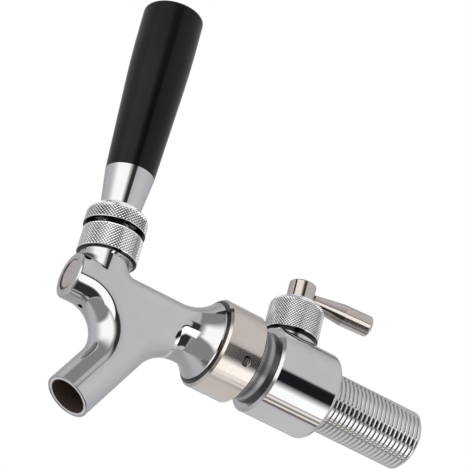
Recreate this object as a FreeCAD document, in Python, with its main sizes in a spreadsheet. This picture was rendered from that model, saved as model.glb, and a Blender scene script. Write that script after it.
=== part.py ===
import FreeCAD, Part
import math
import os
import Sketcher
from FreeCAD import Placement, Rotation, Vector
from types import SimpleNamespace

# Beer faucet on a short flow-control shank.
# Frame: the origin is the middle of the shank's shoulder, +Y runs rearwards along the
# threaded shank, the spout and the handle are in front of it, and +Z is up.
# Stations along the shank are distances in front of the shoulder, and heights are above
# the shank's axis. All lengths are millimetres and all angles degrees.

DRIVING_SIZES = {
    # threaded shank
    "thread_radius": 11.11,
    "thread_pitch": 1.814,
    "thread_length": 39.6,
    "shank_bore_radius": 4.0,
    "spigot_radius": 9.3,
    "spigot_length": 8.0,
    "socket_depth": 1.2,
    "socket_play": 0.3,
    # flow-control housing
    "housing_radius": 16.2,
    "housing_length": 25.9,
    "housing_rear_round": 1.8,
    "housing_front_cut": 0.9,
    "nose_inset": 3.2,
    "nose_step": 0.8,
    "nose_step_station": 37.5,
    "nose_length": 13.6,
    "chamber_radius": 8.0,
    "chamber_throat_radius": 5.6,
    "chamber_cone_length": 19.0,
    # flow control on top of the housing
    "flow_station": 16.1,
    "boss_radius": 9.6,
    "boss_sink": 0.2,
    "gland_radius": 8.0,
    "gland_rise": 9.0,
    "journal_radius": 4.0,
    "journal_bottom": 7.5,
    "spindle_flange_radius": 6.4,
    "spindle_flange_thickness": 1.8,
    "stub_radius": 4.96,
    "stub_rise": 4.5,
    "stub_round": 0.5,
    "pin_radius": 1.4,
    "pin_throw": 2.0,
    "pin_bottom": 4.4,
    "ring_drop": 3.0,
    "ring_section": 0.7,
    "gland_washer_thickness": 1.5,
    "cap_radius": 10.1,
    "cap_height": 14.2,
    "cap_round": 3.6,
    "cap_bottom_gap": 0.2,
    "cap_bottom_cut": 0.5,
    # flow lever
    "lever_rise": 3.2,
    "lever_azimuth": 5.4,
    "lever_reach": 28.9,
    "lever_end_radius": 3.95,
    "lever_end_length": 11.5,
    "lever_root_radius": 2.4,
    "lever_tang_radius": 1.8,
    "lever_shoulder_gap": 0.05,
    "lever_end_round": 0.9,
    # compensator cone
    "cone_gap": 0.45,
    "cone_rear_station": 10.5,
    "cone_front_station": 24.5,
    "groove_radius": 3.7,
    "groove_play": 0.25,
    # coupling nut, its ring and its washer
    "nut_stand": 0.2,
    "nut_wall": 2.1,
    "nut_rear_station": 33.0,
    "nut_front_station": 48.2,
    "nut_front_cut": 1.0,
    "nut_rear_cut": 0.6,
    "nut_lip_thickness": 2.6,
    "nut_turn": -25.0,
    "spanner_hole_radius": 2.0,
    "spanner_hole_station": 38.1,
    "snap_ring_thickness": 1.0,
    "snap_ring_groove": 0.9,
    "snap_ring_inset": 0.3,
    "coupling_washer_thickness": 1.5,
    "coupling_washer_width": 3.6,
    # faucet body
    "tail_front_station": 49.2,
    "waist_station": 62.3,
    "tube_radius": 8.4,
    "flare_sink": 0.03,
    "port_station": 103.8,
    "port_round": 1.05,
    "spout_lean": 29.7,
    "spout_station": 68.6,
    "spout_length": 46.4,
    "spout_bore_radius": 6.68,
    "spout_bore_length": 30.0,
    "spout_throat_radius": 6.3,
    "heel_slope": 20.0,
    "heel_drop": 5.1,
    "heel_bend": 24.4,
    "front_crotch_radius": 9.4,
    "neck_crotch_radius": 1.8,
    "rear_chamber_radius": 7.4,
    "seat_station": 50.2,
    "seat_lip": 1.6,
    "seat_hole_radius": 4.6,
    "waterway_radius": 6.2,
    "guide_rear_station": 83.5,
    "vent_radius": 0.9,
    "vent_station": 96.6,
    # neck of the body and the bonnet
    "tap_station": 92.4,
    "neck_shoulder_radius": 9.5,
    "neck_shoulder_height": 10.8,
    "neck_shoulder_thickness": 0.5,
    "neck_thread_radius": 8.9,
    "neck_thread_cut": 0.4,
    "neck_top": 15.1,
    "neck_bore_radius": 7.0,
    "ball_seat_height": 8.0,
    "finger_bore_radius": 6.3,
    "finger_bore_bottom": 3.0,
    "bonnet_radius": 10.7,
    "bonnet_bottom": 11.0,
    "bonnet_top": 20.7,
    "bonnet_cut": 0.6,
    "bonnet_mouth_radius": 7.4,
    "bonnet_throat_radius": 5.5,
    "friction_washer_thickness": 1.3,
    "friction_washer_radius": 8.3,
    "ball_washer_thickness": 2.2,
    "ball_washer_bore": 5.4,
    # lever
    "pivot_height": 13.0,
    "handle_lean": 0.95,
    "ball_radius": 6.2,
    "lever_neck_radius": 3.0,
    "lever_neck_top": 23.0,
    "stud_radius": 4.76,
    "stud_bottom": 24.6,
    "stud_top": 57.0,
    "stud_cut": 0.8,
    "finger_top_radius": 2.4,
    "finger_tip_radius": 2.2,
    "finger_stem_radius": 1.5,
    # collar, ferrule and grip
    "collar_radius": 11.0,
    "collar_bottom": 22.2,
    "collar_shoulder": 26.6,
    "collar_top": 30.3,
    "collar_dome_radius": 4.6,
    "collar_wall": 1.05,
    "collar_rim": 0.25,
    "collar_cavity": 3.2,
    "ferrule_bottom_radius": 6.97,
    "ferrule_top_radius": 8.74,
    "ferrule_top": 44.5,
    "grip_bottom_radius": 8.74,
    "grip_top_radius": 10.92,
    "grip_top": 111.2,
    "grip_swell_radius": 10.5,
    "grip_swell_height": 82.0,
    "grip_straight_height": 100.0,
    "grip_top_round": 1.3,
    "insert_radius": 6.4,
    "insert_length": 18.0,
    # valve shaft and its seat
    "shaft_rod_radius": 2.6,
    "piston_radius": 5.7,
    "piston_rear_station": 85.0,
    "piston_end_gap": 0.25,
    "piston_ring_station": 100.4,
    "piston_ring_section": 0.7,
    "piston_cut": 0.3,
    "notch_floor": 2.0,
    "notch_reach": 5.0,
    "finger_play": 0.25,
    "stud_rod_radius": 1.5,
    "stud_rod_spare": 0.4,
    "seat_washer_radius": 6.3,
    "seat_washer_thickness": 2.2,
    "plate_radius": 4.2,
    "plate_thickness": 0.8,
    "shaft_nut_radius": 3.0,
    "shaft_nut_thickness": 2.2,
    # clearances shared by all fits
    "running_fit": 0.05,
    "close_fit": 0.02,
}

SHEET_LABEL = "Sizes"
FULL_TURN = 360
QUARTER_TURN = 90
SPANNER_HOLES = 4
HEX_SIDES = 6
THREAD_DEPTH_PER_PITCH = 0.6134
ZERO = 1e-9

doc = FreeCAD.newDocument("beer_faucet")


class Size:
    """A length or angle that keeps its number beside its formula in the sheet."""

    def __init__(self, number, formula):
        self.number = float(number)
        self.formula = formula

    def __add__(self, other):
        other = as_size(other)
        return Size(self.number + other.number, f"({self.formula} + {other.formula})")

    def __sub__(self, other):
        other = as_size(other)
        return Size(self.number - other.number, f"({self.formula} - {other.formula})")

    def __rsub__(self, other):
        return as_size(other) - self

    def __mul__(self, other):
        other = as_size(other)
        return Size(self.number * other.number, f"({self.formula} * {other.formula})")

    def __truediv__(self, other):
        other = as_size(other)
        return Size(self.number / other.number, f"({self.formula} / {other.formula})")

    def __neg__(self):
        return self * -1

    __radd__ = __add__
    __rmul__ = __mul__


def as_size(value):
    """A plain number joins a formula as it is."""
    if isinstance(value, Size):
        return value
    return Size(value, repr(value))


def sine(angle):
    """Sine of an angle in degrees."""
    return Size(math.sin(math.radians(angle.number)), f"sin({angle.formula})")


def cosine(angle):
    """Cosine of an angle in degrees."""
    return Size(math.cos(math.radians(angle.number)), f"cos({angle.formula})")


def root(value):
    """Square root."""
    return Size(math.sqrt(value.number), f"sqrt({value.formula})")


def make_sheet():
    """Fill the sheet and hand back its cells as named sizes."""
    sheet = doc.addObject("Spreadsheet::Sheet", SHEET_LABEL)
    for row, (alias, value) in enumerate(DRIVING_SIZES.items(), start=1):
        sheet.set(f"A{row}", alias)
        sheet.set(f"B{row}", str(value))
        sheet.setAlias(f"B{row}", alias)
    doc.recompute()
    cells = {}
    for alias, value in DRIVING_SIZES.items():
        cells[alias] = Size(value, f"{SHEET_LABEL}.{alias}")
    return SimpleNamespace(**cells)


size = make_sheet()

# Sizes that follow the housing, so that nut, tail, cap and lever stay with it
size.nose_radius = size.housing_radius - size.nose_inset
size.nose_step_radius = size.nose_radius - size.nose_step
size.coupling_washer_bore = size.nose_step_radius - size.coupling_washer_width
size.nut_radius = size.housing_radius + size.nut_stand
size.tail_radius = size.nut_radius - size.nut_wall
size.boss_height = size.housing_radius - size.boss_sink
size.ring_height = size.boss_height - size.ring_drop
size.gland_top = size.boss_height + size.gland_rise
size.cap_top = size.boss_height + size.cap_height
size.lever_height = size.cap_top + size.lever_rise
size.stub_top = size.lever_height + size.stub_rise


def bind(item, **properties):
    """Set properties of an object to sizes, each by its formula."""
    for name, value in properties.items():
        value = as_size(value)
        setattr(item, name, value.number)
        item.setExpression(name, value.formula)


def place(item, rotation=None, x=0, y=0, z=0):
    """Put an object at a point given by sizes, turned by a fixed rotation."""
    spot = [as_size(value) for value in (x, y, z)]
    base = Vector(*[value.number for value in spot])
    item.Placement = Placement(base, rotation or Rotation())
    for letter, value in zip("xyz", spot):
        item.setExpression(f"Placement.Base.{letter}", value.formula)


class Corner:
    """A corner of an outline, which may be rounded or cut, and may start a curved edge."""

    def __init__(self, across, along, rounded=None, cut=None, curve=None, left=True):
        self.across = as_size(across)
        self.along = as_size(along)
        self.trim = rounded or cut
        self.is_round = rounded is not None
        self.curve = curve
        self.left = left

    def toward(self, other, reach):
        """The point at a reach from this corner along the straight edge to another."""
        step_across = other.across.number - self.across.number
        step_along = other.along.number - self.along.number
        if abs(step_across) > abs(step_along):
            return self.across + reach * math.copysign(1, step_across), self.along
        return self.across, self.along + reach * math.copysign(1, step_along)


def trimmed(corners):
    """Replace each rounded or cut corner by the two ends of its arc or flat."""
    result = []
    for index, corner in enumerate(corners):
        before = corners[index - 1]
        after = corners[(index + 1) % len(corners)]
        if corner.trim is None:
            result.append(corner)
            continue
        first = Corner(*corner.toward(before, corner.trim))
        last = Corner(*corner.toward(after, corner.trim), curve=corner.curve, left=corner.left)
        if corner.is_round:
            turn_in = Vector(corner.across.number - before.across.number,
                             corner.along.number - before.along.number, 0)
            turn_out = Vector(after.across.number - corner.across.number,
                              after.along.number - corner.along.number, 0)
            first.curve = corner.trim
            first.left = turn_in.cross(turn_out).z > 0
        result.extend([first, last])
    return result


def edge_between(start, end):
    """Line or arc from one corner to the next, and which of its ends comes first."""
    first = Vector(start.across.number, start.along.number, 0)
    last = Vector(end.across.number, end.along.number, 0)
    if start.curve is None:
        return Part.LineSegment(first, last), (1, 2)
    chord = last - first
    radius = start.curve.number
    rise = radius - math.sqrt(radius ** 2 - (chord.Length / 2) ** 2)
    normal = Vector(chord.y, -chord.x, 0).normalize()
    middle = (first + last) / 2 + normal * (rise if start.left else -rise)
    if start.left:
        return Part.Arc(first, middle, last), (1, 2)
    return Part.Arc(last, middle, first), (2, 1)


def draw(sketch, corners):
    """Draw a closed outline whose corners are all held to the origin by their sizes."""
    points = trimmed(corners)
    edges = []
    for index, point in enumerate(points):
        edge, order = edge_between(point, points[(index + 1) % len(points)])
        edges.append((sketch.addGeometry(edge, False), *order))
    for index, point in enumerate(points):
        edge, start, end = edges[index]
        next_edge, next_start, _ = edges[(index + 1) % len(edges)]
        sketch.addConstraint(Sketcher.Constraint("Coincident", edge, end, next_edge, next_start))
        hold_point(sketch, edge, start, point.across, point.along)
        if point.curve is not None:
            hold_radius(sketch, edge, point.curve)


def hold_point(sketch, edge, end, across, along):
    """Hold a point of an edge by both coordinates, on the axis itself where one is zero."""
    for kind, axis, value in (("DistanceX", -2, across), ("DistanceY", -1, along)):
        if abs(value.number) < ZERO:
            sketch.addConstraint(Sketcher.Constraint("PointOnObject", edge, end, axis))
            continue
        number = sketch.addConstraint(Sketcher.Constraint(kind, -1, 1, edge, end, value.number))
        sketch.setExpression(f"Constraints[{number}]", value.formula)


def hold_radius(sketch, edge, radius):
    """Hold the radius of an arc or a circle."""
    number = sketch.addConstraint(Sketcher.Constraint("Radius", edge, radius.number))
    sketch.setExpression(f"Constraints[{number}]", radius.formula)


def origin_plane(body, role):
    """One of a body's own origin planes."""
    for feature in body.Origin.OriginFeatures:
        if feature.Role == role:
            return feature
    raise ValueError(role)


def sketch_on(body, role, name, lift=None):
    """A sketch on one of the body's own origin planes, or lifted off it."""
    sketch = body.newObject("Sketcher::SketchObject", f"{body.Name}_{name}_outline")
    sketch.AttachmentSupport = [(origin_plane(body, role), "")]
    sketch.MapMode = "FlatFace"
    if lift is not None:
        sketch.AttachmentOffset = Placement(Vector(0, 0, lift.number), Rotation())
        sketch.setExpression("AttachmentOffset.Base.z", lift.formula)
    return sketch


def make_body(name):
    """An empty body whose name is also its label."""
    body = doc.addObject("PartDesign::Body", name)
    body.Label = name
    return body


def turned(body, corners, name="form", kind="PartDesign::Revolution", plane="XZ_Plane",
           axis="V_Axis"):
    """Turn an outline about one of its sketch's axes, to add or to cut."""
    sketch = sketch_on(body, plane, name)
    draw(sketch, corners)
    feature = body.newObject(kind, f"{body.Name}_{name}")
    feature.Profile = sketch
    feature.ReferenceAxis = (sketch, [axis])
    feature.Angle = FULL_TURN
    return feature


def turned_about(body, corners, start, end, name, kind="PartDesign::Revolution"):
    """Turn an outline on the YZ plane about the line from one point to another."""
    sketch = sketch_on(body, "YZ_Plane", name)
    points = [Vector(across.number, along.number, 0) for across, along in (start, end)]
    line = sketch.addGeometry(Part.LineSegment(*points), True)
    hold_point(sketch, line, 1, *start)
    hold_point(sketch, line, 2, *end)
    draw(sketch, corners)
    feature = body.newObject(kind, f"{body.Name}_{name}")
    feature.Profile = sketch
    feature.ReferenceAxis = (sketch, ["Axis0"])
    feature.Angle = FULL_TURN
    return feature


def turned_body(name, corners):
    """A piece made whole on a lathe."""
    body = make_body(name)
    turned(body, corners)
    return body


def ring(inner, outer, bottom, top):
    """Outline of a plain ring."""
    return [Corner(inner, bottom), Corner(outer, bottom), Corner(outer, top), Corner(inner, top)]


def ring_body(name, inner, outer, bottom, top):
    """A washer or sleeve."""
    return turned_body(name, ring(inner, outer, bottom, top))


def disc(sketch, across, along, radius):
    """A circle held by its middle and its radius."""
    across = as_size(across)
    along = as_size(along)
    middle = Vector(across.number, along.number, 0)
    edge = sketch.addGeometry(Part.Circle(middle, Vector(0, 0, 1), radius.number), False)
    hold_point(sketch, edge, 3, across, along)
    hold_radius(sketch, edge, radius)


def pocket(body, sketch, name, length=None):
    """Cut a sketch to both sides: right through, or over a length centred on its plane."""
    cut = body.newObject("PartDesign::Pocket", f"{body.Name}_{name}")
    cut.Profile = sketch
    cut.Midplane = True
    if length is None:
        cut.Type = "ThroughAll"
    else:
        bind(cut, Length=length)
    return cut


FORWARD = Rotation(Vector(1, 0, 0), QUARTER_TURN)
REARWARD = Rotation(Vector(1, 0, 0), -QUARTER_TURN)


def on_shank(item, rotation=FORWARD):
    """Turn a piece so that its own Z runs forwards from the shoulder."""
    place(item, rotation)
    return item


def on_tap(item):
    """Stand a piece on the handle's axis."""
    place(item, y=-size.tap_station)
    return item


def on_handle(item):
    """Stand a piece on the handle's axis, which leans forward about the ball's centre."""
    lean = Rotation(Vector(1, 0, 0), size.handle_lean.number)
    rise = size.pivot_height - size.pivot_height * cosine(size.handle_lean)
    place(item, lean, y=-finger_station, z=rise)
    return item


def on_flow_control(item, rotation=None):
    """Stand a piece on the flow control's axis."""
    place(item, rotation, y=-size.flow_station)
    return item


def ball_radius_at(height, clearance=0):
    """Radius of the lever's ball, with a clearance, at a height above the shank's axis."""
    rise = height - size.pivot_height
    reach = size.ball_radius + clearance
    return root(reach * reach - rise * rise)


def ball_rise_at(radius, clearance=0):
    """How far above or below the pivot the ball has a radius."""
    reach = size.ball_radius + clearance
    return root(reach * reach - radius * radius)


def chamber_radius_at(station):
    """Radius of the tapered chamber at a station."""
    slope = (size.chamber_radius - size.chamber_throat_radius) / size.chamber_cone_length
    return size.chamber_throat_radius + (station - size.spigot_length) * slope


def arc_radius(rise, run):
    """Radius of an arc that leaves its run squarely and rises this far along it."""
    return (rise * rise + run * run) / (rise * 2)


nose_front = size.housing_length + size.nose_length
tail_rear = nose_front + size.coupling_washer_thickness
tail_middle = (tail_rear + size.tail_front_station) / 2
finger_station = size.tap_station - size.pivot_height * sine(size.handle_lean)
snap_groove_rear = size.nut_rear_station + size.nut_lip_thickness + size.running_fit
snap_groove_front = snap_groove_rear + size.snap_ring_thickness + size.running_fit
snap_groove_floor = size.nose_radius - size.snap_ring_groove
friction_top = size.neck_top + size.friction_washer_thickness
flange_bottom = size.gland_top - size.spindle_flange_thickness
gland_washer_top = size.gland_top + size.gland_washer_thickness
washer_front = size.seat_station - size.running_fit
washer_rear = washer_front - size.seat_washer_thickness
plate_rear = washer_rear - size.plate_thickness


# Shank and flow-control housing

def make_threaded_shank():
    """Threaded tube with a collar and a plain spigot that fit the back of the housing."""
    rear = size.thread_length
    collar = size.thread_radius - size.socket_play
    body = turned_body("threaded_shank", [
        Corner(size.shank_bore_radius, 0),
        Corner(size.thread_radius, 0, cut=size.thread_pitch * THREAD_DEPTH_PER_PITCH),
        Corner(size.thread_radius, rear),
        Corner(collar, rear),
        Corner(collar, rear + size.socket_depth),
        Corner(size.spigot_radius, rear + size.socket_depth),
        Corner(size.spigot_radius, rear + size.spigot_length),
        Corner(size.shank_bore_radius, rear + size.spigot_length),
    ])
    place(body, FORWARD, y=size.thread_length)
    return body


def make_flow_housing():
    """Housing with a tapered chamber, a nose for the coupling and a gland on top."""
    body = make_body("flow_housing")
    turned(body, [
        Corner(0, 0),
        Corner(size.housing_radius, 0, rounded=size.housing_rear_round),
        Corner(size.housing_radius, size.housing_length, cut=size.housing_front_cut),
        Corner(size.nose_radius, size.housing_length),
        Corner(size.nose_radius, snap_groove_rear),
        Corner(snap_groove_floor, snap_groove_rear),
        Corner(snap_groove_floor, snap_groove_front),
        Corner(size.nose_radius, snap_groove_front),
        Corner(size.nose_radius, size.nose_step_station),
        Corner(size.nose_step_radius, size.nose_step_station),
        Corner(size.nose_step_radius, nose_front),
        Corner(0, nose_front),
    ])
    middle = size.flow_station
    foot = (as_size(0), middle)
    head = (size.gland_top, middle)
    turned_about(body, [
        Corner(0, middle),
        Corner(0, middle + size.boss_radius),
        Corner(size.boss_height, middle + size.boss_radius),
        Corner(size.boss_height, middle + size.gland_radius),
        Corner(size.gland_top, middle + size.gland_radius),
        Corner(size.gland_top, middle),
    ], foot, head, "boss")
    spigot_bore = size.spigot_radius + size.close_fit
    socket_bore = size.thread_radius + size.running_fit
    turned(body, [
        Corner(0, 0),
        Corner(socket_bore, 0),
        Corner(socket_bore, size.socket_depth),
        Corner(spigot_bore, size.socket_depth),
        Corner(spigot_bore, size.spigot_length),
        Corner(size.chamber_throat_radius, size.spigot_length),
        Corner(size.chamber_radius, size.spigot_length + size.chamber_cone_length),
        Corner(size.chamber_radius, nose_front),
        Corner(0, nose_front),
    ], "chamber", "PartDesign::Groove")
    journal_bore = size.journal_radius + size.running_fit
    flange_bore = size.spindle_flange_radius + size.running_fit
    turned_about(body, [
        Corner(0, middle),
        Corner(0, middle + journal_bore),
        Corner(flange_bottom, middle + journal_bore),
        Corner(flange_bottom, middle + flange_bore),
        Corner(size.gland_top, middle + flange_bore),
        Corner(size.gland_top, middle),
    ], foot, head, "spindle_bore", "PartDesign::Groove")
    return on_shank(body)


def make_compensator_cone():
    """Tapered plug with a groove for the spindle's pin."""
    half_groove = size.pin_radius + size.groove_play
    groove_rear = size.flow_station - half_groove
    groove_front = size.flow_station + half_groove

    def radius_at(station):
        return chamber_radius_at(station) - size.cone_gap

    body = turned_body("compensator_cone", [
        Corner(0, size.cone_rear_station),
        Corner(radius_at(size.cone_rear_station), size.cone_rear_station),
        Corner(radius_at(groove_rear), groove_rear),
        Corner(size.groove_radius, groove_rear),
        Corner(size.groove_radius, groove_front),
        Corner(radius_at(groove_front), groove_front),
        Corner(radius_at(size.cone_front_station), size.cone_front_station),
        Corner(0, size.cone_front_station),
    ])
    return on_shank(body)


# Flow control on top of the housing

def make_flow_spindle():
    """Spindle with its eccentric pin below and a cross hole for the lever above."""
    body = make_body("flow_spindle")
    groove_floor = size.journal_radius - size.ring_section * 2
    half_groove = size.ring_section + size.running_fit
    turned(body, [
        Corner(0, size.journal_bottom),
        Corner(size.journal_radius, size.journal_bottom),
        Corner(size.journal_radius, size.ring_height - half_groove),
        Corner(groove_floor, size.ring_height - half_groove),
        Corner(groove_floor, size.ring_height + half_groove),
        Corner(size.journal_radius, size.ring_height + half_groove),
        Corner(size.journal_radius, flange_bottom),
        Corner(size.spindle_flange_radius, flange_bottom),
        Corner(size.spindle_flange_radius, size.gland_top),
        Corner(size.stub_radius, size.gland_top),
        Corner(size.stub_radius, size.stub_top, rounded=size.stub_round),
        Corner(0, size.stub_top),
    ])
    # the spindle is turned by the lever's azimuth, so its pin is set back by as much
    pin = sketch_on(body, "XY_Plane", "pin", lift=size.pin_bottom)
    disc(pin, size.pin_throw * cosine(size.lever_azimuth),
         size.pin_throw * sine(size.lever_azimuth), size.pin_radius)
    pad = body.newObject("PartDesign::Pad", "flow_spindle_pin")
    pad.Profile = pin
    bind(pad, Length=size.journal_bottom - size.pin_bottom)
    hole = sketch_on(body, "XZ_Plane", "lever_hole")
    disc(hole, 0, size.lever_height, size.lever_tang_radius + size.close_fit)
    cut = body.newObject("PartDesign::Pocket", "flow_spindle_lever_hole")
    cut.Profile = hole
    cut.Type = "ThroughAll"
    return on_flow_control(body, lever_turn())


def lever_turn():
    """Turn of the flow lever away from straight back, towards +X."""
    return Rotation(Vector(0, 0, 1), -size.lever_azimuth.number)


def make_flow_lever():
    """Tapered finger lever with a plain tang in the spindle's cross hole."""
    shoulder = size.stub_radius + size.lever_shoulder_gap
    body = turned_body("flow_lever", [
        Corner(0, 0),
        Corner(size.lever_tang_radius, 0),
        Corner(size.lever_tang_radius, shoulder),
        Corner(size.lever_root_radius, shoulder),
        Corner(size.lever_end_radius, size.lever_reach - size.lever_end_length),
        Corner(size.lever_end_radius, size.lever_reach, rounded=size.lever_end_round),
        Corner(0, size.lever_reach),
    ])
    place(body, lever_turn() * REARWARD, y=-size.flow_station, z=size.lever_height)
    return body


def make_flow_cap():
    """Knurled cap that screws over the gland and holds the spindle down."""
    bottom = size.boss_height + size.cap_bottom_gap
    inner = size.gland_radius + size.running_fit
    ceiling = gland_washer_top + size.running_fit
    opening = size.stub_radius + size.running_fit
    return on_flow_control(turned_body("flow_cap", [
        Corner(inner, bottom),
        Corner(size.cap_radius, bottom, cut=size.cap_bottom_cut),
        Corner(size.cap_radius, size.cap_top, rounded=size.cap_round),
        Corner(opening, size.cap_top),
        Corner(opening, ceiling),
        Corner(inner, ceiling),
    ]))


def make_gland_washer():
    """Washer between the gland and the cap."""
    return on_flow_control(ring_body(
        "gland_washer", size.stub_radius + size.running_fit, size.gland_radius,
        size.gland_top, gland_washer_top))


def make_seal_ring(name, outer_radius, section):
    """Round rubber ring, by the radius that it seals on."""
    seal = doc.addObject("Part::Torus", name)
    seal.Label = name
    bind(seal, Radius1=outer_radius - section, Radius2=section - size.close_fit)
    return seal


def make_spindle_seal():
    """Rubber ring in the spindle's groove."""
    seal = make_seal_ring("spindle_seal", size.journal_radius, size.ring_section)
    place(seal, y=-size.flow_station, z=size.ring_height)
    return seal


# Coupling

def make_coupling_nut():
    """Captive nut with spanner holes that pulls the faucet against the nose."""
    body = make_body("coupling_nut")
    lip_front = size.nut_rear_station + size.nut_lip_thickness
    lip_bore = size.nose_radius + size.running_fit
    thread_bore = size.tail_radius + size.running_fit
    turned(body, [
        Corner(lip_bore, size.nut_rear_station),
        Corner(size.nut_radius, size.nut_rear_station, cut=size.nut_rear_cut),
        Corner(size.nut_radius, size.nut_front_station, cut=size.nut_front_cut),
        Corner(thread_bore, size.nut_front_station),
        Corner(thread_bore, lip_front),
        Corner(lip_bore, lip_front),
    ])
    sketch = sketch_on(body, "YZ_Plane", "spanner_hole")
    disc(sketch, 0, size.spanner_hole_station, size.spanner_hole_radius)
    hole = body.newObject("PartDesign::Pocket", "coupling_nut_spanner_hole")
    hole.Profile = sketch
    hole.Type = "ThroughAll"
    hole.Reversed = True
    pattern = body.newObject("PartDesign::PolarPattern", "coupling_nut_spanner_holes")
    pattern.Originals = [hole]
    pattern.Axis = (sketch, ["V_Axis"])
    pattern.Angle = FULL_TURN
    pattern.Occurrences = SPANNER_HOLES
    body.Tip = pattern
    return on_shank(body, FORWARD * Rotation(Vector(0, 0, 1), size.nut_turn.number))


def make_nut_snap_ring():
    """Ring in the nose's groove that keeps the nut on."""
    return on_shank(ring_body(
        "nut_snap_ring", snap_groove_floor + size.close_fit,
        size.tail_radius - size.snap_ring_inset,
        snap_groove_rear, snap_groove_rear + size.snap_ring_thickness))


def make_coupling_washer():
    """Washer between the nose and the faucet's tail."""
    return on_shank(ring_body(
        "coupling_washer", size.coupling_washer_bore, size.nose_step_radius,
        nose_front, tail_rear))


# Faucet body

def spout_point(reach, aside):
    """A point of the symmetry plane by its reach down the spout and its distance behind."""
    across = -size.spout_station - reach * sine(size.spout_lean) + aside * cosine(size.spout_lean)
    along = -(reach * cosine(size.spout_lean)) - aside * sine(size.spout_lean)
    return across, along


def plane_vector(across, along):
    """A vector in the symmetry plane."""
    return Vector(0, across, along)


def crossing(first, first_way, second, second_way):
    """Point of the symmetry plane where two straight lines meet."""
    apart = second - first
    reach = apart.cross(second_way).x / first_way.cross(second_way).x
    return first + first_way * reach


def half_disc(middle, outward, radius):
    """Half disc across the symmetry plane, its round side outwards."""
    side = Vector(radius, 0, 0)
    arc = Part.Arc(middle - side, middle + outward * radius, middle + side).toShape()
    chord = Part.LineSegment(middle + side, middle - side).toShape()
    return Part.Face(Part.Wire([arc, chord]))


class Bend:
    """Arc that joins two straight axes from one corner, seen in the symmetry plane."""

    def __init__(self, corner, first, second, radius):
        half_angle = first.getAngle(second) / 2
        reach = radius / math.tan(half_angle)
        bisector = (first + second).normalize()
        self.start = corner + first * reach
        self.end = corner + second * reach
        self.centre = corner + bisector * (radius / math.sin(half_angle))
        self.middle = self.centre - bisector * radius
        self.turn = math.degrees(math.pi - 2 * half_angle)

    def edge(self):
        """The arc itself."""
        return Part.Arc(self.start, self.middle, self.end).toShape()

    def skin(self, radius):
        """Half tube along the arc, on the side of its centre."""
        outward = (self.centre - self.start).normalize()
        face = half_disc(self.start, outward, radius)
        swing = (self.start - self.centre).cross(self.middle - self.centre)
        return face.revolve(self.centre, swing, self.turn)


def straight_skin(start, end, outward, radius):
    """Half tube along a straight stretch."""
    return half_disc(start, outward, radius).extrude(end - start)


def casting_skin():
    """Outside of the casting: tubes of one radius that flow into each other.

    The tubes' axes and the bends between them bound a flat web in the symmetry plane.
    Each side of that web carries half a tube, so that flat sides and tubes meet smoothly.
    """
    radius = size.tube_radius.number
    lean = math.radians(size.spout_lean.number)
    front = plane_vector(-1, 0)
    back = -front
    up = plane_vector(0, 1)
    down = -up
    spout = plane_vector(-math.sin(lean), -math.cos(lean))
    spout_back = plane_vector(math.cos(lean), -math.sin(lean))
    branch = plane_vector(-size.spout_station.number, 0)
    tap = plane_vector(-size.tap_station.number, 0)
    tail = plane_vector(-tail_middle.number, 0)
    slope = math.radians(size.heel_slope.number)
    heel = plane_vector(math.cos(slope), -math.sin(slope))
    heel_down = plane_vector(-math.sin(slope), -math.cos(slope))
    heel_end = tail + down * size.heel_drop.number
    heel_corner = crossing(heel_end, heel, branch, spout)
    port = plane_vector(-size.port_station.number + size.port_round.number, 0)
    mouth = branch + spout * size.spout_length.number
    neck_radius = size.neck_crotch_radius.number + radius
    rear = Bend(heel_corner, heel, spout, size.heel_bend.number)
    crotch = Bend(branch, front, spout, size.front_crotch_radius.number + radius)
    neck_rear = Bend(tap, back, up, neck_radius)
    neck_front = Bend(tap, front, up, neck_radius)
    shoulder = tap + up * (size.neck_shoulder_height - size.neck_shoulder_thickness).number
    web = Part.Face(Part.Wire([
        Part.LineSegment(tail, neck_rear.start).toShape(),
        neck_rear.edge(),
        neck_front.edge(),
        Part.LineSegment(neck_front.start, crotch.start).toShape(),
        crotch.edge(),
        Part.LineSegment(crotch.end, rear.end).toShape(),
        rear.edge(),
        Part.LineSegment(rear.start, heel_end).toShape(),
        Part.LineSegment(heel_end, tail).toShape(),
    ]))
    web.translate(Vector(-radius, 0, 0))
    pieces = [
        web.extrude(Vector(2 * radius, 0, 0)),
        rear.skin(radius),
        crotch.skin(radius),
        neck_rear.skin(radius),
        neck_front.skin(radius),
        straight_skin(tail, neck_rear.start, up, radius),
        straight_skin(heel_end, rear.start, heel_down, radius),
        straight_skin(neck_front.start, crotch.start, down, radius),
        straight_skin(crotch.end, rear.end, spout_back, radius),
        tube(neck_front.start, port, radius),
        tube(crotch.end, mouth, radius),
        tube(neck_rear.end, shoulder, radius),
    ]
    return pieces[0].multiFuse(pieces[1:]).removeSplitter()


def tube(start, end, radius):
    """Solid round bar from one point to another."""
    return Part.makeCylinder(radius, (end - start).Length, start, end - start)


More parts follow.
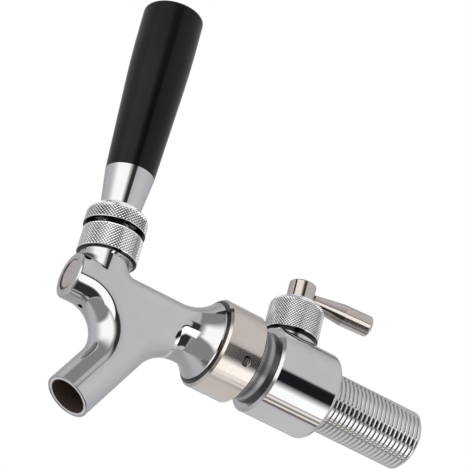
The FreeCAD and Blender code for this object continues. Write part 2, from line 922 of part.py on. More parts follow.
def make_faucet_body():
    """Casting with its threaded tail and neck, its waterway, and the bores that meet it."""
    skin = doc.addObject("Part::Feature", "casting_skin")
    skin.Shape = casting_skin()
    body = make_body("faucet_body")
    body.BaseFeature = skin
    flare_rise = size.tail_radius - size.tube_radius + size.flare_sink
    flare_run = size.waist_station - size.tail_front_station
    turned(body, [
        Corner(-size.waist_station, 0),
        Corner(-tail_rear, 0),
        Corner(-tail_rear, size.tail_radius),
        Corner(-size.tail_front_station, size.tail_radius,
               curve=arc_radius(flare_rise, flare_run), left=False),
        Corner(-size.waist_station, size.tube_radius - size.flare_sink),
    ], "tail", plane="YZ_Plane", axis="H_Axis")
    turned(body, [
        Corner(-size.port_station + size.port_round, 0),
        Corner(-size.port_station + size.port_round, size.tube_radius,
               curve=size.port_round, left=True),
        Corner(-size.port_station, size.tube_radius - size.port_round),
        Corner(-size.port_station, 0),
    ], "port", plane="YZ_Plane", axis="H_Axis")
    make_neck(body)
    cut_waterway(body)
    cut_spout(body)
    cut_neck(body)
    vent = sketch_on(body, "XY_Plane", "vent")
    disc(vent, 0, -size.vent_station, size.vent_radius)
    hole = body.newObject("PartDesign::Pocket", "faucet_body_vent")
    hole.Profile = vent
    bind(hole, Length=size.tube_radius + size.front_crotch_radius / 2)
    return body


def tap_axis_ends(top):
    """Ends of the handle's axis in the symmetry plane."""
    return (-size.tap_station, as_size(0)), (-size.tap_station, top)


def make_neck(body):
    """Shoulder and thread that the bonnet screws on."""
    middle = -size.tap_station
    shoulder_bottom = size.neck_shoulder_height - size.neck_shoulder_thickness
    turned_about(body, [
        Corner(middle, shoulder_bottom),
        Corner(middle + size.tube_radius, shoulder_bottom),
        Corner(middle + size.neck_shoulder_radius, size.neck_shoulder_height),
        Corner(middle + size.neck_thread_radius, size.neck_shoulder_height),
        Corner(middle + size.neck_thread_radius, size.neck_top, cut=size.neck_thread_cut),
        Corner(middle, size.neck_top),
    ], *tap_axis_ends(size.neck_top), "neck")


def cut_waterway(body):
    """Bore along the barrel: rear chamber, seat, waterway and the shaft's guide."""
    seat_front = -size.seat_station - size.seat_lip
    guide = size.piston_radius + size.running_fit
    turned(body, [
        Corner(-tail_rear, 0),
        Corner(-tail_rear, size.rear_chamber_radius),
        Corner(-size.seat_station, size.rear_chamber_radius),
        Corner(-size.seat_station, size.seat_hole_radius),
        Corner(seat_front, size.seat_hole_radius),
        Corner(seat_front, size.waterway_radius),
        Corner(-size.guide_rear_station, size.waterway_radius),
        Corner(-size.guide_rear_station, guide),
        Corner(-size.port_station, guide),
        Corner(-size.port_station, 0),
    ], "waterway", "PartDesign::Groove", "YZ_Plane", "H_Axis")


def cut_spout(body):
    """Bore from the mouth, and the narrower throat from its end to the waterway."""
    top = spout_point(as_size(0), as_size(0))
    mouth = spout_point(size.spout_length, as_size(0))
    bore_end = size.spout_length - size.spout_bore_length
    turned_about(body, [
        Corner(*top),
        Corner(*spout_point(as_size(0), size.spout_throat_radius)),
        Corner(*spout_point(bore_end, size.spout_throat_radius)),
        Corner(*spout_point(bore_end, size.spout_bore_radius)),
        Corner(*spout_point(size.spout_length, size.spout_bore_radius)),
        Corner(*mouth),
    ], top, mouth, "spout_bore", "PartDesign::Groove")


def cut_neck(body):
    """Bore for the lever's finger and the wider seat of its ball."""
    middle = -size.tap_station
    turned_about(body, [
        Corner(middle, size.finger_bore_bottom),
        Corner(middle + size.finger_bore_radius, size.finger_bore_bottom),
        Corner(middle + size.finger_bore_radius, size.ball_seat_height),
        Corner(middle + size.neck_bore_radius, size.ball_seat_height),
        Corner(middle + size.neck_bore_radius, size.neck_top),
        Corner(middle, size.neck_top),
    ], *tap_axis_ends(size.neck_top), "neck_bore", "PartDesign::Groove")


# Valve shaft and its seat

def make_valve_shaft():
    """Shaft with its guide piston, notched for the lever's finger, and a stud behind."""
    body = make_body("valve_shaft")
    stud_end = plate_rear - size.shaft_nut_thickness - size.stud_rod_spare
    groove_floor = size.piston_radius - size.piston_ring_section * 2
    half_groove = size.piston_ring_section + size.running_fit
    front = size.port_station - size.piston_end_gap
    turned(body, [
        Corner(0, stud_end),
        Corner(size.stud_rod_radius, stud_end),
        Corner(size.stud_rod_radius, washer_front),
        Corner(size.shaft_rod_radius, washer_front),
        Corner(size.shaft_rod_radius, size.piston_rear_station),
        Corner(size.piston_radius, size.piston_rear_station),
        Corner(size.piston_radius, size.piston_ring_station - half_groove),
        Corner(groove_floor, size.piston_ring_station - half_groove),
        Corner(groove_floor, size.piston_ring_station + half_groove),
        Corner(size.piston_radius, size.piston_ring_station + half_groove),
        Corner(size.piston_radius, front, cut=size.piston_cut),
        Corner(0, front),
    ])
    notch = sketch_on(body, "YZ_Plane", "notch")
    rear = finger_station - size.notch_reach
    ahead = finger_station + size.notch_reach
    above = size.piston_radius * 2
    draw(notch, [Corner(size.notch_floor, rear), Corner(above, rear),
                 Corner(above, ahead), Corner(size.notch_floor, ahead)])
    pocket(body, notch, "notch")
    socket = sketch_on(body, "XZ_Plane", "finger_socket")
    disc(socket, 0, finger_station, size.finger_tip_radius + size.finger_play)
    depth = size.finger_tip_radius + size.finger_play * 2
    pocket(body, socket, "finger_socket", depth * 2)
    return on_shank(body)


def make_piston_seal():
    """Rubber ring in the piston's groove."""
    seal = make_seal_ring("piston_seal", size.piston_radius, size.piston_ring_section)
    place(seal, FORWARD, y=-size.piston_ring_station)
    return seal


def make_seat_washer():
    """Rubber washer that closes the seat from behind."""
    return on_shank(ring_body(
        "seat_washer", size.stud_rod_radius + size.close_fit, size.seat_washer_radius,
        washer_rear, washer_front))


def make_seat_plate():
    """Metal plate between the seat washer and its nut."""
    return on_shank(ring_body(
        "seat_plate", size.stud_rod_radius + size.close_fit, size.plate_radius,
        plate_rear, washer_rear))


def make_shaft_nut():
    """Hexagon nut on the shaft's stud."""
    body = make_body("shaft_nut")
    sketch = sketch_on(body, "XY_Plane", "hexagon", lift=plate_rear - size.shaft_nut_thickness)
    corners = []
    for index in range(HEX_SIDES):
        angle = math.tau * index / HEX_SIDES
        corners.append(Corner(size.shaft_nut_radius * round(math.cos(angle), 9),
                              size.shaft_nut_radius * round(math.sin(angle), 9)))
    draw(sketch, corners)
    disc(sketch, 0, 0, size.stud_rod_radius + size.close_fit)
    pad = body.newObject("PartDesign::Pad", "shaft_nut_form")
    pad.Profile = sketch
    bind(pad, Length=size.shaft_nut_thickness)
    return on_shank(body)


# Lever, its washers and the bonnet

def make_lever():
    """Ball lever in one piece: tipped finger, ball, neck and the threaded stud."""
    tip = size.finger_tip_radius
    stem = size.finger_stem_radius
    ball_bottom = size.pivot_height - ball_rise_at(size.finger_top_radius)
    ball_top = size.pivot_height + ball_rise_at(size.lever_neck_radius)
    return on_handle(turned_body("lever", [
        Corner(0, -tip, curve=tip, left=True),
        Corner(tip, 0, curve=tip, left=True),
        Corner(stem, root(tip * tip - stem * stem)),
        Corner(size.finger_top_radius, ball_bottom, curve=size.ball_radius, left=True),
        Corner(size.ball_radius, size.pivot_height, curve=size.ball_radius, left=True),
        Corner(size.lever_neck_radius, ball_top),
        Corner(size.lever_neck_radius, size.lever_neck_top),
        Corner(size.stud_radius, size.stud_bottom),
        Corner(size.stud_radius, size.stud_top, cut=size.stud_cut),
        Corner(0, size.stud_top),
    ]))


def make_ball_washer():
    """Nylon seat under the lever's ball."""
    fit = size.running_fit
    bottom = size.ball_seat_height
    top = bottom + size.ball_washer_thickness
    contact = size.pivot_height - ball_rise_at(size.ball_washer_bore, fit)
    return on_tap(turned_body("ball_washer", [
        Corner(size.ball_washer_bore, bottom),
        Corner(size.neck_bore_radius - size.running_fit, bottom),
        Corner(size.neck_bore_radius - size.running_fit, top),
        Corner(ball_radius_at(top, fit), top, curve=size.ball_radius + fit, left=False),
        Corner(size.ball_washer_bore, contact),
    ]))


def make_friction_washer():
    """Nylon ring on top of the ball, which the bonnet presses down."""
    fit = size.running_fit
    return on_tap(turned_body("friction_washer", [
        Corner(ball_radius_at(size.neck_top, fit), size.neck_top),
        Corner(size.friction_washer_radius, size.neck_top),
        Corner(size.friction_washer_radius, friction_top),
        Corner(ball_radius_at(friction_top, fit), friction_top,
               curve=size.ball_radius + fit, left=False),
    ]))


def make_compression_bonnet():
    """Knurled bonnet on the neck, open at the top for the lever's tilt."""
    inner = size.neck_thread_radius + size.running_fit
    ceiling = friction_top + size.running_fit
    return on_tap(turned_body("compression_bonnet", [
        Corner(inner, size.bonnet_bottom),
        Corner(size.bonnet_radius, size.bonnet_bottom, cut=size.bonnet_cut),
        Corner(size.bonnet_radius, size.bonnet_top, cut=size.bonnet_cut),
        Corner(size.bonnet_mouth_radius, size.bonnet_top),
        Corner(size.bonnet_throat_radius, ceiling),
        Corner(inner, ceiling),
    ]))


def make_lever_collar():
    """Hollow knurled collar on the stud, open below so that it clears the bonnet."""
    bore = size.stud_radius + size.close_fit
    cavity_top = size.collar_bottom + size.collar_cavity
    cavity_radius = size.collar_radius - size.collar_wall
    return on_handle(turned_body("lever_collar", [
        Corner(bore, cavity_top),
        Corner(cavity_radius, cavity_top),
        Corner(cavity_radius, size.collar_bottom),
        Corner(size.collar_radius, size.collar_bottom),
        Corner(size.collar_radius, size.collar_shoulder,
               curve=size.collar_dome_radius, left=True),
        Corner(size.ferrule_bottom_radius + size.collar_rim, size.collar_top),
        Corner(bore, size.collar_top),
    ]))


# Handle

def make_handle_ferrule():
    """Conical sleeve between the collar and the grip."""
    bore = size.stud_radius + size.close_fit
    return on_handle(turned_body("handle_ferrule", [
        Corner(bore, size.collar_top),
        Corner(size.ferrule_bottom_radius, size.collar_top),
        Corner(size.ferrule_top_radius, size.ferrule_top),
        Corner(bore, size.ferrule_top),
    ]))


def make_handle_insert():
    """Threaded sleeve moulded into the grip."""
    return on_handle(ring_body(
        "handle_insert", size.stud_radius + size.close_fit, size.insert_radius,
        size.ferrule_top, size.ferrule_top + size.insert_length))


def make_handle_grip():
    """Grip that swells towards its top."""
    bore = size.insert_radius + size.close_fit
    bore_top = size.ferrule_top + size.insert_length
    swell = arc_radius(size.grip_top_radius - size.grip_swell_radius,
                       size.grip_straight_height - size.grip_swell_height)
    return on_handle(turned_body("handle_grip", [
        Corner(bore, size.ferrule_top),
        Corner(size.grip_bottom_radius, size.ferrule_top),
        Corner(size.grip_swell_radius, size.grip_swell_height, curve=swell, left=True),
        Corner(size.grip_top_radius, size.grip_straight_height),
        Corner(size.grip_top_radius, size.grip_top, rounded=size.grip_top_round),
        Corner(0, size.grip_top),
        Corner(0, bore_top),
        Corner(bore, bore_top),
    ]))


MAKERS = (
    make_threaded_shank,
    make_flow_housing,
    make_compensator_cone,
    make_flow_spindle,
    make_spindle_seal,
    make_gland_washer,
    make_flow_cap,
    make_flow_lever,
    make_coupling_nut,
    make_nut_snap_ring,
    make_coupling_washer,
    make_faucet_body,
    make_valve_shaft,
    make_piston_seal,
    make_seat_washer,
    make_seat_plate,
    make_shaft_nut,
    make_lever,
    make_ball_washer,
    make_friction_washer,
    make_compression_bonnet,
    make_lever_collar,
    make_handle_ferrule,
    make_handle_insert,
    make_handle_grip,
)


def check(pieces):
    """Stop if any object failed or any piece isn't one sound solid."""
    for item in doc.Objects:
        if "Invalid" in item.State or "Error" in item.State:
            raise RuntimeError(f"{item.Label} failed: {item.State}")
    for piece in pieces:
        shape = piece.Shape
        if shape.isNull() or not shape.isValid() or len(shape.Solids) != 1:
            raise RuntimeError(f"{piece.Label} is not one sound solid")


def export(pieces):
    """Write each piece to a file of its own name."""
    os.makedirs("parts", exist_ok=True)
    for piece in pieces:
        piece.Shape.exportStep(f"parts/{piece.Label}.step")
        print(f"{piece.Label}: {piece.Shape.Volume:.1f} mm3")


pieces = [make() for make in MAKERS]
doc.recompute()
check(pieces)
export(pieces)
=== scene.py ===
"""Beer faucet on a flow-control shank: the looks of the part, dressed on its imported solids.

The origin is the middle of the shank's shoulder, +Y runs rearwards along the thread, the
spout and the handle are in front of it, and +Z is up. Everything is in metres.
"""

import logging
import math
from dataclasses import dataclass
from enum import Enum
from typing import Any, Callable, Sequence

import bmesh
import bpy
from mathutils import Euler, Matrix, Vector
from mathutils.kdtree import KDTree


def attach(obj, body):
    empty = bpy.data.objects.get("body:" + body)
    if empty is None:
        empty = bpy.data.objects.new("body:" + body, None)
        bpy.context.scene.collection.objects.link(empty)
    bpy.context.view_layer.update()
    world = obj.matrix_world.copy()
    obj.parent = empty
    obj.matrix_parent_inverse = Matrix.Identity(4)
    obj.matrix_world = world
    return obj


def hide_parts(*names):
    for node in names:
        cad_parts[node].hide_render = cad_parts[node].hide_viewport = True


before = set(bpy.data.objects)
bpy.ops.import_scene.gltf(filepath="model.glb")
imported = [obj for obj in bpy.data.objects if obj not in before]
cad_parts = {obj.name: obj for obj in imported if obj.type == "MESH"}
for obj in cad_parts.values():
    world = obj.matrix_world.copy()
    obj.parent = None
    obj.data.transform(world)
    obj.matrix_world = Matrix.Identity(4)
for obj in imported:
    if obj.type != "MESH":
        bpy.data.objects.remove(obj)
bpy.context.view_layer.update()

LOG = logging.getLogger("beer_faucet")
MM = 0.001
TURN = 2 * math.pi
ORIGIN = (0.0, 0.0, 0.0)

# Points closer than MERGE are one, or closer than SEAM along the screw's seam. A point closer
# than TOUCH to a knurl's row lies on it, and a resize closer than STEADY to 1 is left out.
MERGE = 1e-7
SEAM = MERGE * 10
TOUCH = 2e-6
STEADY = 1e-9

# Steps from one groove of a knurl to the next, round the axis or along the band
GROOVE_STEPS = 4

Point = tuple[float, float]
Triple = tuple[float, float, float]
Keep = Callable[[Vector], bool]


# Shader sums

class Signal:
    """A value that runs through a node sheet, so that sums on it read as Python."""

    def __init__(self, sheet: "Sheet", socket: bpy.types.NodeSocket) -> None:
        """Wrap an output socket of a sheet."""
        self.sheet = sheet
        self.socket = socket

    def _sum(self, operation: str, first: "Value", second: "Value") -> "Signal":
        """Add one Math node for an operation on two values."""
        return self.sheet.node("Math", {"operation": operation}, {0: first, 1: second})

    def __add__(self, other: "Value") -> "Signal":
        """This value plus another."""
        return self._sum("ADD", self, other)

    def __radd__(self, other: "Value") -> "Signal":
        """Another value plus this one."""
        return self._sum("ADD", other, self)

    def __sub__(self, other: "Value") -> "Signal":
        """This value less another."""
        return self._sum("SUBTRACT", self, other)

    def __rsub__(self, other: "Value") -> "Signal":
        """Another value less this one."""
        return self._sum("SUBTRACT", other, self)

    def __mul__(self, other: "Value") -> "Signal":
        """This value times another."""
        return self._sum("MULTIPLY", self, other)

    def __rmul__(self, other: "Value") -> "Signal":
        """Another value times this one."""
        return self._sum("MULTIPLY", other, self)

    def __truediv__(self, other: "Value") -> "Signal":
        """This value divided by another."""
        return self._sum("DIVIDE", self, other)

    def least(self, other: "Value") -> "Signal":
        """The smaller of this value and another."""
        return self._sum("MINIMUM", self, other)

    def most(self, other: "Value") -> "Signal":
        """The larger of this value and another."""
        return self._sum("MAXIMUM", self, other)

    def root(self) -> "Signal":
        """The square root of this value."""
        return self._sum("SQRT", self, 0.0)

    def degrees(self, operation: str, other: "Value" = 0.0) -> "Signal":
        """The inverse sine of this value, or the inverse tangent of it over another."""
        return self._sum(operation, self, other) * (180.0 / math.pi)

    def between(self, low: float, high: float, low_edge: float,
                high_edge: float | None = None) -> "Signal":
        """A window of this value with soft edges.

        Args:
            low: Where the window starts.
            high: Where it ends.
            low_edge: Half the width of its soft start.
            high_edge: Half the width of its soft end, the same as the start's if not given.

        Returns:
            A value from 0 outside to 1 inside.
        """
        end = low_edge if high_edge is None else high_edge
        return self.rise(low - low_edge, low + low_edge) * self.fall(high - end, high + end)

    def rise(self, start: "Value", end: "Value") -> "Signal":
        """A soft step up, which leaves 0 at its start and reaches 1 at its end."""
        return self.sheet.node("MapRange", {"interpolation_type": "SMOOTHSTEP"},
                               {"Value": self, "From Min": start, "From Max": end})

    def fall(self, start: "Value", end: "Value") -> "Signal":
        """A soft step down, which leaves 1 at its start and reaches 0 at its end."""
        return 1.0 - self.rise(start, end)


Value = Signal | float
PaintedPlate = tuple[Signal, Value, Signal]


class Sheet:
    """The node sheet of a material or of the world."""

    def __init__(self, tree: bpy.types.NodeTree) -> None:
        """Start from an empty sheet."""
        self.tree = tree
        tree.nodes.clear()

    def node(self, kind: str, settings: dict[str, Any] | None = None,
             inputs: dict[int | str, Any] | None = None, output: int | str = 0) -> Signal:
        """Add a node of any type.

        Args:
            kind: The node's type, without the ShaderNode that it starts with.
            settings: Its settings, set first. A ramp's stops are pairs of place and colour.
            inputs: Values or links of its sockets, by name or number.
            output: The socket that is handed back.

        Returns:
            The chosen output.
        """
        made = self.tree.nodes.new(f"ShaderNode{kind}")
        for name, value in (settings or {}).items():
            if name == "stops":
                self._set_stops(made.color_ramp, value)
            else:
                setattr(made, name, value)
        for key, value in (inputs or {}).items():
            self.feed(made.inputs[key], value)
        return Signal(self, made.outputs[output])

    def feed(self, socket: bpy.types.NodeSocket, value: Any) -> None:
        """Link a signal to a socket, or write a number or a colour on it."""
        if isinstance(value, Signal):
            self.tree.links.new(value.socket, socket)
        else:
            socket.default_value = value

    def finish(self, kind: str, shader: Signal) -> None:
        """Close the sheet with its output node."""
        made = self.tree.nodes.new(f"ShaderNode{kind}")
        self.feed(made.inputs["Surface"], shader)

    @staticmethod
    def _set_stops(ramp: bpy.types.ColorRamp, stops: Sequence[tuple[float, Any]]) -> None:
        """Give a ramp its stops."""
        while len(ramp.elements) > 1:
            ramp.elements.remove(ramp.elements[-1])
        ramp.elements[0].position = stops[0][0]
        ramp.elements[0].color = stops[0][1]
        for place, colour in stops[1:]:
            ramp.elements.new(place).color = colour

    def own_place(self) -> Signal:
        """Object coordinates of the piece that wears the sheet."""
        return self.node("TexCoord", output="Object")

    def noise(self, coordinates: Signal, scale: float, detail: float = 2.0) -> Signal:
        """Noise from 0 to 1 with features of about 1 / scale."""
        return self.node("TexNoise", None,
                         {"Vector": coordinates, "Scale": scale, "Detail": detail})

    def blend(self, factor: Value, first: Any, second: Any) -> Signal:
        """Mix two colours by a factor."""
        return self.node("Mix", {"data_type": "RGBA"}, {0: factor, 6: first, 7: second}, output=2)

    def vector(self, operation: str, first: Any, second: Any = ORIGIN) -> Signal:
        """Add one Vector Math node."""
        return self.node("VectorMath", {"operation": operation}, {0: first, 1: second},
                         output="Value" if operation == "LENGTH" else "Vector")

    def split(self, vector: Signal) -> list[Signal]:
        """The three parts of a vector."""
        return [self.node("SeparateXYZ", None, {0: vector}, output=axis) for axis in "XYZ"]

    def bump(self, height: Signal, depth: float, strength: float = 1.0,
             form: Signal | None = None) -> Signal:
        """A normal that is bumped by a height from 0 to 1 over a depth in metres."""
        inputs = {"Strength": strength, "Distance": depth, "Height": height}
        if form is not None:
            inputs["Normal"] = form
        return self.node("Bump", None, inputs, output="Normal")

    def metal(self, colour: Signal, gloss: Signal, normal: Signal, share: Value = 1.0) -> Signal:
        """A metal's surface, where the share of metal may be less than 1."""
        return self.node("BsdfPrincipled", None, {
            "Base Color": colour, "Metallic": share, "Roughness": gloss, "Normal": normal})


# Finishes

@dataclass(frozen=True)
class LatheAxis:
    """The axis that a piece was turned about, by a point on it and its turn away from +Z."""

    centre: Triple
    turn: Triple = ORIGIN

    def matrix(self) -> Matrix:
        """The place of a piece that was made standing on the origin."""
        return Matrix.Translation(self.centre) @ Euler(self.turn).to_matrix().to_4x4()


SHANK_AXIS = LatheAxis(ORIGIN, (-math.pi / 2, 0.0, 0.0))

TAP_STATION = 92.4 * MM
TAP_AXIS = LatheAxis((0.0, -TAP_STATION, 0.0))

FLOW_STATION = 16.1 * MM
FLOW_LEVER_HEIGHT = 33.4 * MM
FLOW_LEVER_AZIMUTH = math.radians(5.4)
FLOW_AXIS = LatheAxis((0.0, -FLOW_STATION, 0.0))
FLOW_LEVER_AXIS = LatheAxis((0.0, -FLOW_STATION, FLOW_LEVER_HEIGHT),
                            (-math.pi / 2, 0.0, -FLOW_LEVER_AZIMUTH))

# The handle leans about the ball's centre.
BALL_HEIGHT = 13.0 * MM
HANDLE_LEAN = math.radians(0.95)
HANDLE_AXIS = LatheAxis((0.0, BALL_HEIGHT * math.sin(HANDLE_LEAN) - TAP_STATION,
                         BALL_HEIGHT - BALL_HEIGHT * math.cos(HANDLE_LEAN)),
                        (HANDLE_LEAN, 0.0, 0.0))

# The spout's axis starts at its mouth and points out of it.
SPOUT_STATION = 68.6 * MM
SPOUT_LENGTH = 46.4 * MM
SPOUT_LEAN = math.radians(29.7)
SPOUT_AXIS = LatheAxis((0.0, -SPOUT_STATION - SPOUT_LENGTH * math.sin(SPOUT_LEAN),
                        -SPOUT_LENGTH * math.cos(SPOUT_LEAN)),
                       (math.pi - SPOUT_LEAN, 0.0, 0.0))

# Directions to the right and upwards in the picture
PICTURE_RIGHT = (0.535, 0.812, 0.232)
PICTURE_UP = (0.276, -0.427, 0.861)

# Painted shade of joints, nooks, the nose, undersides and edges, the spout's dull bore, and
# a painted highlight on its rim
PAINTED_SHADE = (0.035, 0.035, 0.037, 1.0)
JOINT_SHADE = (0.02, 0.02, 0.022, 1.0)
NOOK_SHADE = (0.05, 0.05, 0.052, 1.0)
NOSE_SHADE_DARK = (0.13, 0.13, 0.135, 1.0)
NOSE_SHADE_GREY = (0.34, 0.34, 0.35, 1.0)
BORE_BROWN = (0.085, 0.062, 0.052, 1.0)
RIM_HIGHLIGHT = (0.97, 0.97, 0.97, 1.0)
NUT_FACE_SHADE = (0.075, 0.07, 0.066, 1.0)
PORT_EDGE_SHADE = (0.15, 0.09, 0.07, 1.0)


@dataclass(frozen=True)
class Finish:
    """What every finish has: a name, a colour, a gloss and the axis of its lines."""

    name: str
    colour: Triple
    roughness: float
    axis: LatheAxis = SHANK_AXIS

    def material(self) -> bpy.types.Material:
        """The finish as a new material."""
        made = bpy.data.materials.new(self.name)
        made.use_nodes = True
        made.diffuse_color = (*self.colour, 1.0)
        sheet = Sheet(made.node_tree)
        sheet.finish("OutputMaterial", self.shader(sheet))
        return made

    def put_on(self, *pieces: bpy.types.Object) -> None:
        """Make the finish once, and put it on every material slot of some pieces."""
        material = self.material()
        for piece in pieces:
            if not piece.material_slots:
                piece.data.materials.append(material)
            for slot in piece.material_slots:
                slot.material = material

    def shader(self, sheet: Sheet) -> Signal:
        """The finish's surface, which each kind of finish draws for itself."""
        raise NotImplementedError

    def place(self, sheet: Sheet, axis: LatheAxis | None = None) -> Signal:
        """Object coordinates with a lathe's axis as their own Z."""
        axis = axis or self.axis
        return sheet.node("Mapping", {"vector_type": "TEXTURE"}, {
            "Vector": sheet.own_place(), "Location": axis.centre, "Rotation": axis.turn})

    @staticmethod
    def from_axis(sheet: Sheet, place: Signal) -> tuple[Signal, Signal]:
        """Distance from the axis, and height along it."""
        flat = sheet.vector("MULTIPLY", place, (1.0, 1.0, 0.0))
        return sheet.vector("LENGTH", flat), sheet.split(place)[2]

    def tool_lines(self, sheet: Sheet, place: Signal, per_metre: float) -> Signal:
        """Fine lines that a lathe leaves round its axis.

        Args:
            sheet: The sheet.
            place: Coordinates with the axis as Z.
            per_metre: How many lines a metre has.

        Returns:
            A height from 0 to 1.
        """
        radius, along = self.from_axis(sheet, place)
        lines = sheet.node("CombineXYZ", None, {"X": along, "Y": radius})
        return sheet.noise(lines, per_metre, 3.0)


@dataclass(frozen=True)
class Chrome(Finish):
    """Bright chrome plate over a polished metal, with faint clouds from wiping."""

    ripple: float = 0.01
    cloud_scale: float = 55.0
    grain_scale: float = 900.0

    def shader(self, sheet: Sheet) -> Signal:
        """Mirror plate with slightly uneven gloss and polish."""
        place = self.place(sheet)
        clouds = sheet.noise(place, self.cloud_scale, 4.0)
        fine = sheet.noise(place, self.grain_scale)
        gloss = self.roughness * (0.6 + clouds * 0.8)
        darker = tuple(part * 0.94 for part in self.colour)
        colour = sheet.blend(clouds.rise(0.3, 0.75), (*self.colour, 1.0), (*darker, 1.0))
        colour, metal, gloss = self.paint_light_and_dull(sheet, colour, gloss)
        normal = sheet.bump(clouds + fine * 0.02, self.ripple * MM, 1.0, self.form(sheet))
        return sheet.metal(colour, gloss, normal, metal)

    def paint_light_and_dull(self, sheet: Sheet, colour: Signal, gloss: Signal) -> PaintedPlate:
        """Paint light and shade on the plate and dull it where needed; plain plate has none.

        Args:
            sheet: The sheet.
            colour: Colour of the plain plate.
            gloss: Its roughness.

        Returns:
            The colour, the metalness and the roughness.
        """
        return colour, 1.0, gloss

    def form(self, sheet: Sheet) -> Signal | None:
        """A finer form of the surface under the plate, which plain plate doesn't have."""
        return None


@dataclass(frozen=True)
class HousingChrome(Chrome):
    """The housing's plate, with painted shade on its nose and round the gland's boss."""

    nose_radius: float = 13.0 * MM
    front_station: float = 25.9 * MM
    housing_radius: float = 16.2 * MM
    boss_radius: float = 9.6 * MM
    boss_height: float = 16.0 * MM
    rings_per_metre: float = 620.0

    def paint_light_and_dull(self, sheet: Sheet, colour: Signal, gloss: Signal) -> PaintedPlate:
        """Paint shade rings round the nose, and a shade line above and below the boss."""
        place = self.place(sheet)
        radius, behind = self.from_axis(sheet, place)
        # Painted shade on the nose, in rings along the lathe's lines
        nose = radius.fall(self.nose_radius + 0.2 * MM, self.nose_radius + 0.5 * MM) * (
            behind.fall(-self.front_station, 0.1 * MM - self.front_station))
        rings = self.tool_lines(sheet, place, self.rings_per_metre)
        shade = sheet.blend(rings.rise(0.42, 0.6), NOSE_SHADE_DARK, NOSE_SHADE_GREY)
        colour = sheet.blend(nose, colour, shade)
        from_flow, height = self.from_axis(sheet, self.place(sheet, FLOW_AXIS))
        # Painted shade: a black line in the gap round the gland's boss
        boss = from_flow.fall(self.boss_radius + 0.1 * MM, self.boss_radius + 0.2 * MM) * (
            height.rise(self.boss_height * 0.5, self.boss_height * 0.55))
        above = height.rise(self.boss_height - 1.5 * MM, self.boss_height - 1.0 * MM)
        below = radius.fall(self.housing_radius + 0.12 * MM, self.housing_radius + 0.4 * MM)
        colour = sheet.blend(boss * above.most(below), colour, JOINT_SHADE)
        return colour, 1.0, gloss + (nose * 0.2 + boss * 0.12)


